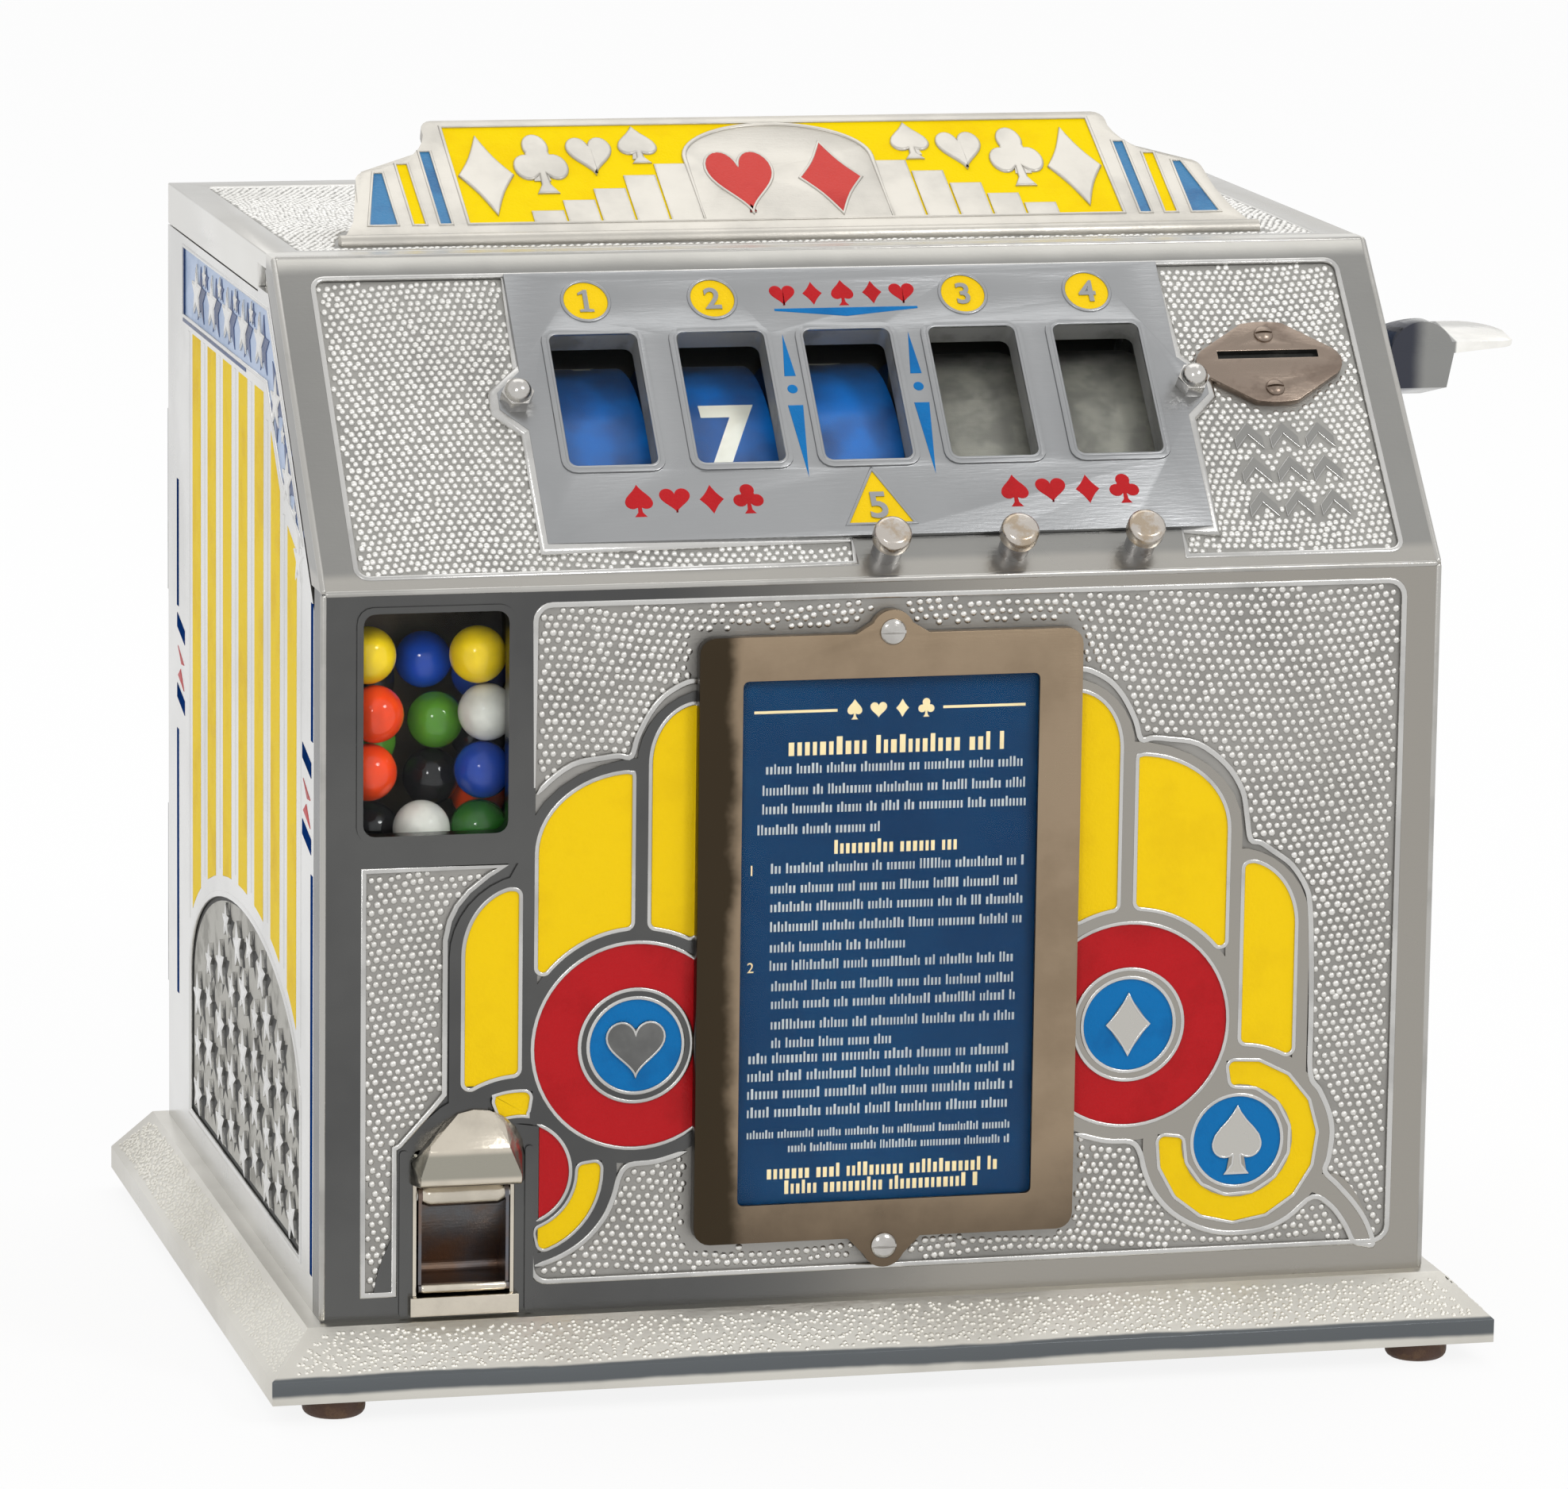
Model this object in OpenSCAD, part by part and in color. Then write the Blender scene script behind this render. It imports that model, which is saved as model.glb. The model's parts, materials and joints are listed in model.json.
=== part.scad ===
// Counter-top coin machine with five number reels, three window shutters and a gumball window.
// Lengths are in millimetres. The cabinet is drawn with x = 0 in its middle, y = 0 on its lower
// front face and z = 0 on the counter, then moved so that the origin is under the whole machine.

/* [Cabinet] */
// Width of the cabinet
case_w = 290; // [286:1:300]
// Depth of the cabinet
case_d = 228; // [222:1:250]
// Height of the seam between the two front castings
seam_z = 207.5; // [206:0.5:212]
// Height of the sloping front above the seam
slope_rise = 74.5; // [73:0.5:80]
// Setback of the sloping front at its top
slope_run = 70; // [67:0.5:74]
// Thickness of the cabinet walls
wall = 4; // [3:0.5:5]
// Thickness of the sloping wall at the windows
slope_t = 5.2; // [4.5:0.1:6]
// Depth of the side flanges on the front castings
flange_d = 10; // [8:1:12]
// Open seam between castings
seam_gap = 0.3; // [0.1:0.1:0.6]
// Depth of the pebbled fields below their borders
field_depth = 0.8; // [0.6:0.1:2]
// Depth of the enamelled fields
enamel_depth = 1; // [0.5:0.1:1.8]
// Height of the skirt round the top casting
skirt_h = 11; // [9:1:14]

/* [Base] */
// Height of the feet
foot_h = 5.5; // [4:0.5:9]
// Radius of a foot
foot_r = 8; // [6:0.5:10]
// Height of the upright lip round the base
lip_h = 6; // [4:0.5:8]
// Height of the base without its feet
base_h = 16.5; // [14:0.5:20]
// How far the base stands out at each side
base_side = 15; // [12:1:20]
// How far the base stands out at the front
base_front = 16; // [12:1:20]
// How far the base stands out at the back
base_back = 8; // [7:1:14]
// Width of the flat step round the cabinet
base_step = 4; // [2:0.5:5]

/* [Reels] */
// Radius of a reel
reel_r = 44; // [40:0.5:45]
// Width of a reel
reel_w = 26; // [24:0.5:27]
// Distance from one reel to the next
reel_pitch = 33.1; // [33:0.1:33.4]
// Radius of the reel shaft
shaft_r = 4; // [3:0.25:5]
// Radius of a star wheel over its teeth
star_r = 20; // [17:0.5:23]
// Width of a reel window
win_w = 23; // [20:0.5:24]
// Height of a reel window
win_h = 40.4; // [36:0.2:42]
// Height of the window centres above the seam, along the slope
win_u = 55.1; // [54:0.1:56]
// Angle that a shutter turns to open
shutter_turn = 76; // [70:1:80]

/* [Front] */
// Width of the gumball window
gum_w = 36.8; // [33:0.2:38]
// Height of the gumball window
gum_h = 56.2; // [50:0.2:58]
// Width of the card frame
card_w = 99.4; // [92:0.2:102]
// Height of the card frame
card_h = 156; // [150:0.5:158]
// Width of the card frame's border
card_border = 11.2; // [9:0.2:13]
// Radius of a gumball
ball_r = 7.3; // [6.9:0.1:7.3]
// Width of the gum cup
cup_w = 26.2; // [24:0.2:28]

/* [Sign] */
// Width of the sign at its foot
sign_w = 242; // [230:1:250]
// Length of the sign up its face
sign_l = 51; // [46:0.5:56]
// Lean of the sign above the level
sign_lean = 28; // [22:1:35]

/* [Controls] */
// Radius of the lever shaft
lever_shaft_r = 5; // [4:0.25:6]
// Reach of the thumb paddle beyond the cabinet
lever_reach = 39; // [36:0.5:44]
// Travel of a button
button_travel = 5; // [3:0.5:6]
// Radius of a button head
button_r = 4.9; // [4.5:0.1:5.4]
// Height of a button head above the slope
button_h = 10.4; // [10:0.2:14]

/* [Hidden] */
$fn = 48;

fit = 0.05;          // radial clearance of a running fit
loose = 0.3;         // gap beside moving faces
cut = 1;             // how far a cutting solid runs past a face
sheet = 1;           // sheet metal thickness
half_w = case_w / 2;
base_z = foot_h + base_h;
top_z = seam_z + slope_rise;
slope_a = atan2(slope_rise, slope_run);
top_lip = 8;         // level strip at the top of the sloping front
skirt_y = slope_run + 20;
base_half = half_w + base_side;
lever_tip = half_w + lever_reach;
origin_shift = [-(lever_tip - base_half) / 2, -(case_d + base_back - base_front) / 2, 0];

// Window glass, shutters and reels stack up behind the sloping wall
glass_t = 1.8;
shutter_t = 0.8;
shutter_gap = 1.2;
glass_gap = 1.6;
shutter_ro = reel_r + shutter_gap + shutter_t;
axis_depth = slope_t + glass_t + glass_gap + shutter_ro;
axis_u = win_u - 5.2;
axis_y = axis_u * cos(slope_a) + axis_depth * sin(slope_a);
axis_z = seam_z + axis_u * sin(slope_a) - axis_depth * cos(slope_a);
function reel_x(i) = (i - 3) * reel_pitch;
star_t = 2;
shutter_side = 1.4;      // from a reel's face to the shutter's arm on the left
shutter_side_r = star_t + 0.6;
frame_t = 3;
frame_x = reel_x(5) + reel_w / 2 + shutter_side_r + shutter_t + 1.9;

// Lever and its shaft
pivot_y = slope_run + 10;
pivot_z = top_z - 35;
hub_r = 8.7;
hub_x = half_w + 13.5;
hub_front = pivot_y - 20;

// Gum parts
gum_x = -half_w + 10.4;
gum_top = seam_z - 5.3;
gum_bottom = gum_top - gum_h;
cup_x = gum_x + 13;
cup_z = base_z + 3.5;
hinge_bar_z = cup_z + 28;
hinge_bar_y = 1.5;
hinge_bar_r = 2.2;
wheel_r = 16;
wheel_y = wall + 22;
wheel_z = gum_bottom - 44;

// Card frame
card_z = base_z + 16;
frame_stand = 3.2;
card_rebate = 3;
card_t = 0.4;
card_glass_t = 1.5;

// Front ornament, one half; the other half mirrors it
disc_x = 64.5;
disc_z = base_z + 68;
suit_x = 94.3;
suit_z = base_z + 36.2;
pebble_x = 135;
pebble_r = 4;

function polar(c, r, a) = c + r * [cos(a), sin(a)];
function arc(c, r, a0, a1, n) = [for (i = [0:n]) let (a = a0 + (a1 - a0) * i / n)
  c + r * [cos(a), sin(a)]];
function oval(c, r, a0, a1, n) = [for (i = [0:n]) let (a = a0 + (a1 - a0) * i / n)
  c + [r[0] * cos(a), r[1] * sin(a)]];
function rounded(x0, y0, x1, y1, r, n = 4) = concat(
  arc([x1 - r, y1 - r], r, 0, 90, n), arc([x0 + r, y1 - r], r, 90, 180, n),
  arc([x0 + r, y0 + r], r, 180, 270, n), arc([x1 - r, y0 + r], r, 270, 360, n));
// Height on a circle of radius r round c, above x
function over(c, r, x) = c[1] + sqrt(max(0, r * r - (x - c[0]) * (x - c[0])));

module place() { translate(origin_shift) children(); }
// Extrudes a drawing, made in x and height, from depth d0 to d1 below the lower front face
module on_front(d0, d1) {
  translate([0, d1, 0]) rotate([90, 0, 0]) linear_extrude(d1 - d0) children();
}
// The same below the sloping face, where the drawing's second axis runs up the slope
module on_slope(d0, d1) {
  translate([0, 0, seam_z]) rotate([slope_a, 0, 0]) translate([0, 0, -d1])
    linear_extrude(d1 - d0) children();
}
// Extrudes a drawing, made in y and z, from x0 to x1
module across(x0, x1) { translate([x0, 0, 0]) rotate([90, 0, 90]) linear_extrude(x1 - x0) children(); }
module rod_x(x0, x1, y, z, r) { translate([x0, y, z]) rotate([0, 90, 0]) cylinder(h = x1 - x0, r = r); }
module at_slope(x, u, h) {
  translate([0, 0, seam_z]) rotate([slope_a, 0, 0]) translate([x, u, h]) children();
}
module rod_slope(x, u, d0, d1, r) { on_slope(d0, d1) translate([x, u]) circle(r); }
module box(a, b) { translate(a) cube(b - a); }

// Base

module base_block(inset, drop) {
  slope_in = base_side - base_step;
  intersection() {
    rotate([90, 0, 0]) translate([0, 0, -case_d - base_back])
      linear_extrude(case_d + base_front + base_back)
      polygon([[-base_half + inset, foot_h - drop], [-base_half + inset, foot_h + lip_h - inset / 2],
        [-base_half + slope_in + inset, base_z - inset], [base_half - slope_in - inset, base_z - inset],
        [base_half - inset, foot_h + lip_h - inset / 2], [base_half - inset, foot_h - drop]]);
    across(-base_half, base_half)
      polygon([[-base_front + inset, foot_h - drop], [-base_front + inset, foot_h + lip_h - inset / 2],
        [-base_step + inset, base_z - inset], [case_d + base_step - inset, base_z - inset],
        [case_d + base_back - inset, foot_h + lip_h - inset / 2],
        [case_d + base_back - inset, foot_h - drop]]);
  }
}
foot_in = 17.5;
foot_spots = [for (sx = [-1, 1], y = [-base_front + 11, case_d + base_back - 11])
  [sx * (base_half - foot_in), y]];
foot_boss_r = 6;
foot_screw_r = 2;
plate_t = 1.2;
deck_x = 92;
module base_casting() {
  color("silver") place() difference() {
    union() {
      difference() {
        base_block(0, 0);
        base_block(wall, cut);
        box([-deck_x, 40, foot_h], [deck_x, case_d - 38, base_z + cut]);
      }
      for (p = foot_spots) translate([p[0], p[1], foot_h + plate_t]) cylinder(h = lip_h, r = foot_boss_r);
    }
    for (p = foot_spots) translate([p[0], p[1], foot_h])
      cylinder(h = lip_h + plate_t - 1, r = foot_screw_r + 0.1);
  }
}
module bottom_plate() {
  color("dimgray") place() difference() {
    box([-base_half + wall + 0.2, -base_front + wall + 0.2, foot_h],
      [base_half - wall - 0.2, case_d + base_back - wall - 0.2, foot_h + plate_t]);
    for (p = foot_spots) translate([p[0], p[1], foot_h - cut])
      cylinder(h = plate_t + 2 * cut, r = foot_screw_r + 0.3);
  }
}
module feet() {
  color("saddlebrown") place() for (p = foot_spots) translate([p[0], p[1], 0]) difference() {
    rotate_extrude() polygon(concat([[0, 0], [foot_r - 2, 0]],
      arc([foot_r - 2, 2], 2, -90, 0, 4), [[foot_r, foot_h - 1], [foot_r - 1, foot_h], [0, foot_h]]));
    translate([0, 0, 1.5]) cylinder(h = foot_h, r = foot_screw_r + 0.1);
  }
}
module foot_screws() {
  color("gray") place() for (p = foot_spots) translate([p[0], p[1], 1.5])
    cylinder(h = foot_h + lip_h - 2.3, r = foot_screw_r);
}

// Front ornament as flat drawings, right half

border = 3.8;
disc_c = [disc_x, disc_z];
suit_c = [suit_x, suit_z];
petal_r = 30.5;
petal_x = [[49, 61], [65.8, 90], [94.6, 108.6]];
petal_top = [base_z + 155, base_z + 138, base_z + 109.5];
petal_fall = [15, 20, 17];
module petal(i, grow) {
  x0 = petal_x[i][0] - grow;
  x1 = petal_x[i][1] + grow;
  shoulder = petal_top[i] - petal_fall[i];
  low_c = i == 2 ? suit_c : disc_c;
  low_r = (i == 2 ? 25.6 : petal_r) - grow;
  turn = i == 1 ? 90 : i == 0 ? 84 : 78;
  flat = petal_top[i] - petal_fall[i] * sin(turn);
  polygon(concat(
    [for (k = [0:8]) let (x = x0 + (x1 - x0) * k / 8) [x, over(low_c, low_r, x)]],
    oval([x0, shoulder], [x1 - x0, petal_fall[i] + grow], 0, turn, 8),
    [[x0, petal_top[i] + grow - 0.6]]));
}
module ring_part(grow) {
  r1 = 21.4 + grow;
  r0 = 14.8 - grow;
  polygon(concat(arc(suit_c, r1, -187, 99, 28), arc(suit_c, r0, 99, -187, 28)));
}
module heart(s) {
  translate([-2.9 * s, 1.4 * s]) circle(3.1 * s);
  translate([2.9 * s, 1.4 * s]) circle(3.1 * s);
  polygon([[-5.6 * s, -0.1 * s], [0, -6.6 * s], [5.6 * s, -0.1 * s], [0, 3 * s]]);
}
module diamond(s) { polygon([[-5.6 * s, 0], [0, -7.8 * s], [5.6 * s, 0], [0, 7.8 * s]]); }
module spade(s) {
  translate([-3 * s, -1 * s]) circle(3.3 * s);
  translate([3 * s, -1 * s]) circle(3.3 * s);
  polygon([[-6.1 * s, 0.2 * s], [0, 8.8 * s], [6.1 * s, 0.2 * s], [0, -3 * s]]);
  polygon([[-1.2 * s, 0], [-2.8 * s, -8.6 * s], [2.8 * s, -8.6 * s], [1.2 * s, 0]]);
}
module club(s) {
  for (p = [[0, 4.4], [-3.6, -1], [3.6, -1]]) translate(p * s) circle(3.2 * s);
  polygon([[-1.2 * s, 2], [-2.6 * s, -8.2 * s], [2.6 * s, -8.2 * s], [1.2 * s, 2]]);
}
// Smooth metal round the petals and roundels, left standing in the pebbled field
module ornament() {
  for (i = [0:2]) petal(i, border);
  translate(disc_c) circle(petal_r);
  translate(suit_c) circle(25.2);
  polygon(concat([[suit_x + 18, suit_z + 12], [petal_x[2][1] + border, suit_z + 18],
    [petal_x[2][1] + border, suit_z + 40], [petal_x[2][0], suit_z + 40], [suit_x, suit_z]]));
  // ridge that runs out to the lower corner
  polygon(concat([[suit_x + 12, suit_z - 10]], oval([suit_x + 23, suit_z - 36], [14.6, 27], 75, 0, 8),
    oval([suit_x + 20, suit_z - 36], [12, 21], 0, 80, 8)));
}
module enamel_common() {
  for (i = [0:2]) petal(i, 0);
  difference() {
    translate(disc_c) circle(26.3);
    translate(disc_c) circle(14.9);
  }
  translate(disc_c) circle(12);
}
module enamel_right() {
  difference() {
    enamel_common();
    translate(disc_c) diamond(1);
  }
  ring_part(0);
  difference() {
    translate(suit_c) circle(11.8);
    translate(suit_c) spade(1);
  }
}
cup_side = cup_x + cup_w;
module enamel_left() {
  difference() {
    union() {
      difference() {
        enamel_common();
        translate(disc_c) translate([0, 0.6]) heart(1.25);
      }
      ring_part(0);
      translate(suit_c) circle(13);
    }
    polygon([[-cup_side - 6, 0], [-cup_side + 30, 0], [-cup_side + 30, suit_z + 23],
      [-cup_side + 7, suit_z + 23], [-cup_side + 7, suit_z + 14], [-cup_side - 6, suit_z + 12]]);
  }
}

// Lower front

card_low = card_z;
card_high = card_z + card_h;
gum_sill = gum_bottom - 8;
screw_z = [card_low - 2.2, card_high + 0.4];
rim_h = 0.6;
rim_w = 1.6;
screw_r = 1.5;
module field_right() {
  difference() {
    polygon(rounded(-90.8, base_z + 8, pebble_x, seam_z - 4.7, pebble_r));
    ornament();
    mirror([1, 0]) ornament();
    polygon(rounded(-card_w / 2 + 3, card_low + 3, card_w / 2 - 3, card_high - 3, 2));
    translate([0, screw_z[0]]) circle(5);
    translate([0, screw_z[1]]) circle(5);
    translate([-130, base_z + 8]) square([130 - 90, 5]);
  }
}
module field_left() {
  difference() {
    polygon(concat([[-95, gum_sill], [-134.5, gum_sill], [-134.5, base_z + 6], [cup_x - 5, base_z + 6],
      [cup_x - 5, base_z + 44], [cup_x + 7, base_z + 54], [-104, base_z + 60], [-104, base_z + 100]]));
    mirror([1, 0]) ornament();
  }
}
module lower_front() {
  mid = (wall + flange_d) / 2;
  color("silver") place() difference() {
    union() {
      box([-half_w, 0, base_z], [half_w, wall, seam_z]);
      for (x = [-half_w, half_w - wall]) box([x, 0, base_z], [x + wall, flange_d, seam_z]);
      box([-half_w + wall, 0, seam_z - 3], [half_w - wall, flange_d + wall, seam_z]);
      box([cup_x + cup_w + 5, 0, base_z], [half_w - wall, flange_d + wall, base_z + 3]);
      on_front(-rim_h, cut) difference() {
        polygon(rounded(gum_x - rim_w, gum_bottom - rim_w, gum_x + gum_w + rim_w, gum_top + rim_w, 4));
        polygon(rounded(gum_x, gum_bottom, gum_x + gum_w, gum_top, 3));
      }
      for (x = [cup_x - 3.4, cup_x + cup_w + 2.6]) on_front(-rim_h, cut)
        polygon(rounded(x, base_z + 0.5, x + 2.2, cup_z + 40, 1));
    }
    on_front(-cut, wall + cut) polygon(rounded(gum_x, gum_bottom, gum_x + gum_w, gum_top, 3));
    on_front(-cut, wall + cut) polygon(rounded(cup_x, cup_z, cup_x + cup_w, cup_z + 40, 2));
    on_front(-cut, field_depth) { field_right(); field_left(); }
    on_front(-cut, enamel_depth) { enamel_right(); mirror([1, 0]) enamel_left(); }
    for (z = screw_z) translate([0, -cut, z]) rotate([-90, 0, 0])
      cylinder(h = wall + 2 * cut, r = screw_r + 0.1);
    // Room for the button guides in the top flange
    for (i = [3:5]) rod_slope(reel_x(i), button_u, 3, guide_d + 8, guide_r + loose);
  }
}

// Upper front

// Point at distance t up the slope and depth d below it
function sl(t, d) = [t * cos(slope_a) + d * sin(slope_a), seam_z + t * sin(slope_a) - d * cos(slope_a)];
// Point at depth d below the slope and height z
function slz(z, d) = sl((z - seam_z + d * cos(slope_a)) / sin(slope_a), d);
slope_field = [-135.2, 4.6, 135.2, 95];
nut_spot = [88.6, 55.8];
coin_c = [111, 62.5];
slot_w = 27;
slot_h = 2.4;
button_u = 7.6;
stem_r = 2.5;
guide_r = 5.5;
guide_d = 12;
stud_r = 2;
arrow_z = [[19, 0], [29.5, 1], [40, 2]];
module arrow(w, h, t) { polygon([[-w, 0], [0, h], [w, 0], [w, -t], [0, h - t], [-w, -t]]); }
module slope_holes() {
  for (i = [1:5]) translate([reel_x(i) - win_w / 2, win_u - win_h / 2])
    polygon(rounded(0, 0, win_w, win_h, 2.4));
}
module upper_front() {
  lip_y = slope_run + top_lip;
  in_top = slz(top_z - wall, slope_t);
  in_low = slz(seam_z + 3, slope_t);
  color("silver") place() difference() {
    union() {
      across(-half_w, half_w) polygon([[0, seam_z], [slope_run, top_z], [lip_y, top_z],
        [lip_y, top_z - wall], in_top, in_low, [flange_d + wall, seam_z + 3], [flange_d + wall, seam_z]]);
      for (s = [0, 1]) mirror([s, 0, 0]) across(half_w - wall, half_w)
        polygon([[0, seam_z], [slope_run, top_z], [lip_y, top_z], [lip_y, top_z - wall - seam_gap],
          slz(top_z - wall - seam_gap, flange_d), slz(seam_z, flange_d)]);
      for (i = [3:5]) rod_slope(reel_x(i), button_u, 2, guide_d, guide_r);
    }
    difference() {
      on_slope(-cut, field_depth) difference() {
        polygon(rounded(slope_field[0], slope_field[1], slope_field[2], slope_field[3], 3));
        translate([reel_x(3) - 8, 0]) square([reel_x(5) - reel_x(3) + 20, plate_low - 0.1]);
      }
      for (a = arrow_z) on_slope(field_depth - 0.7, field_depth + 0.1)
        for (x = [-9.5, 0, 9.5]) translate([coin_c[0] + x, a[0]]) arrow(3.6, 4.4, 3);
    }
    on_slope(-cut, slope_t + cut) slope_holes();
    on_slope(-cut, slope_t + cut) translate([coin_c[0] - slot_w / 2 - 1, coin_c[1] + 1])
      square([slot_w + 2, slot_h + 2.6]);
    for (i = [3:5]) rod_slope(reel_x(i), button_u, -cut, guide_d + cut, stem_r + fit);
    for (s = [-1, 1]) rod_slope(s * nut_spot[0], nut_spot[1], -cut, slope_t + cut, stud_r + 0.1);
    for (u = coin_screw_u) rod_slope(coin_c[0], u, -cut, slope_t + cut, screw_r + 0.1);
  }
}
coin_screw_u = [coin_c[1] - 8.2, coin_c[1] + 8.6];

// Sides, drawn in y and z

stripe_n = 7;
stripe_pitch = 23.6;
stripe_w = 13;
stripe_y = case_d - 45.7;
band_h = 22;
arch_c = [111, base_z + 10];
module side_outline() {
  skirt_z = top_z - skirt_h;
  d = flange_d + seam_gap;
  low = slz(seam_z, d);
  polygon([[flange_d + seam_gap, base_z], [flange_d + seam_gap, seam_z - 6], [low[0], seam_z - 2],
    slz(top_z - wall - 0.4, d), [skirt_y - seam_gap, top_z - wall - 0.4],
    [skirt_y - seam_gap, skirt_z - seam_gap], [case_d, skirt_z - seam_gap], [case_d, base_z]]);
}
// Arch with straight feet, round top
module arch(grow) {
  polygon(concat([[arch_c[0] - 83 - grow, base_z + 9 - grow]],
    oval([arch_c[0], arch_c[1] + 38], [83 + grow, 35 + grow], 180, 0, 24),
    [[arch_c[0] + 83 + grow, base_z + 9 - grow]]));
}
module stripes() {
  difference() {
    for (k = [0:stripe_n - 1]) translate([stripe_y - stripe_w / 2 - k * stripe_pitch, base_z + 30])
      square([stripe_w, top_z - base_z - 30]);
    arch(5);
    polygon([[0, top_z], [0, seam_z - 8], slz(seam_z + 12, flange_d + band_h),
      slz(top_z - skirt_h - band_h - 6, flange_d + band_h), [case_d, top_z - skirt_h - band_h - 6],
      [case_d, top_z]]);
  }
}
function star_pts(r) = [for (i = [0:9]) let (a = 90 + i * 36, q = i % 2 == 0 ? r : r * 0.42)
  [q * cos(a), q * sin(a)]];
module star(p, r, a = 0) { translate(p) rotate(a) polygon(star_pts(r)); }
// Rows of stars under the arch, two sizes, inside its outline
star_rows = 5;
module arch_stars() {
  for (row = [0:star_rows - 1])
    let (z = base_z + 17 + row * 13.5, n = row == star_rows - 1 ? 4 : row == 3 ? 7 : 9)
    for (k = [0:n - 1]) star([arch_c[0] + (k - (n - 1) / 2) * 17.5, z + (k % 2) * 3],
      (k + row) % 2 == 0 ? 6 : 4.4, (k * 37 + row * 20) % 30 - 15);
}
module side_panel() {
  difference() {
    across(-half_w, -half_w + wall) side_outline();
    across(-half_w - cut, -half_w + enamel_depth) stripes();
    across(-half_w - cut, -half_w + enamel_depth) difference() { arch(0); arch_stars(); }
    across(-half_w - cut, -half_w + enamel_depth) difference() {
      polygon([slz(seam_z + 8, flange_d + 4), slz(top_z - skirt_h - 3, flange_d + 4),
        [case_d - 24, top_z - skirt_h - 3], [case_d - 24, top_z - skirt_h - band_h],
        slz(top_z - skirt_h - band_h, flange_d + band_h - 4), slz(seam_z + 20, flange_d + band_h - 4)]);
      for (k = [0:4]) star([stripe_y - k * stripe_pitch, top_z - skirt_h - 13], 7.4);
      for (k = [0:2]) let (p = sl(24 + k * 24, flange_d + 11)) star(p, 7);
    }
    across(-half_w - cut, -half_w + 2) polygon([slz(top_z - skirt_h + 1, flange_d), slz(top_z, flange_d),
      [skirt_y, top_z], [skirt_y, top_z - skirt_h + 1]]);
  }
}
module left_side() { color("silver") place() side_panel(); }
strike_z = base_z + 128;
bush_r = 8;
module right_side() {
  color("silver") place() {
    difference() {
      mirror([1, 0, 0]) side_panel();
      rod_x(half_w - wall - cut, half_w + cut, pivot_y, pivot_z, bush_r + 0.1);
    }
    // Strike for the lock cam
    box([lock_x + lock_r + 0.4, case_d - wall - 6, strike_z - 8],
      [half_w - wall, case_d - wall - 3, strike_z + 8]);
  }
}

// Top and sign

top_depth = 0.6;
field_top = [-half_w + 9, slope_run + top_lip + 4, half_w - 9, case_d - 10];
module top_casting() {
  y0 = slope_run + top_lip + seam_gap;
  z0 = top_z - skirt_h;
  color("whitesmoke") place() difference() {
    union() {
      box([-half_w, skirt_y, z0], [half_w, case_d, top_z]);
      box([-half_w, y0, top_z - wall], [half_w, skirt_y + cut, top_z]);
    }
    box([-half_w + wall, skirt_y - cut, z0 - cut], [half_w - wall, case_d - wall, top_z - wall]);
    translate([0, 0, top_z - top_depth]) linear_extrude(top_depth + cut)
      polygon(rounded(field_top[0], field_top[1], field_top[2], field_top[3], 2));
  }
}
sign_y = slope_run + 25.5;
sign_z = top_z + 2;
sign_t = 3;
bead_r = 2.3;
half_sign = sign_w / 2;
// Half outline of the sign's face: flared foot, lower step, hollow shoulder, upper step
sign_half = concat([[0, 0], [half_sign, 0], [half_sign - 3, 6], [half_sign - 5.5, 15]],
  oval([half_sign - 10.5, 24], [4, 4.4], 0, 80, 4),
  oval([half_sign - 8, 47], [20, 18], 250, 188, 6),
  oval([half_sign - 31, sign_l - 4], [3.2, 4], 0, 90, 4), [[0, sign_l]]);
module sign_outline() { polygon(sign_half); mirror([1, 0]) polygon(sign_half); }
module on_sign(d0, d1) {
  translate([0, sign_y, sign_z]) rotate([sign_lean, 0, 0]) translate([0, 0, -d1])
    linear_extrude(d1 - d0) children();
}
sign_field_w = 87.8;
sign_low = 4.3;
sign_arch_w = 25;
sign_steps = [9.5, 14, 19, 24.8, 29.8];
module sign_bars() {
  polygon([[106.8, sign_low], [107, 27.5], [109.2, 27.5], [114, sign_low]]);
  polygon([[99.4, sign_low], [99.8, 31.4], [102.6, 31.4], [102.4, sign_low]]);
  polygon([[92.6, sign_low], [92.8, 37], [95.5, 37], [95.4, sign_low]]);
}
module sign_field() {
  difference() {
    translate([-sign_field_w, sign_low]) square([2 * sign_field_w, sign_l - 3 - sign_low]);
    polygon(concat([[sign_arch_w, 0]], oval([0, 32], [sign_arch_w, 15], 0, 180, 20),
      [[-sign_arch_w, 0]]));
    for (s = [0, 1]) mirror([s, 0]) {
      for (k = [0:4]) translate([sign_arch_w + 0.6 + (4 - k) * 9.1, 0]) square([8.5, sign_steps[k]]);
      translate([37.5, 37.5]) spade(0.62);
      translate([51, 35]) heart(0.85);
      translate([65, 30]) club(0.86);
      translate([79, 26]) diamond(1.15);
    }
  }
  translate([-10.5, 22]) heart(1.25);
  translate([10.5, 22]) diamond(1.25);
}
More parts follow.
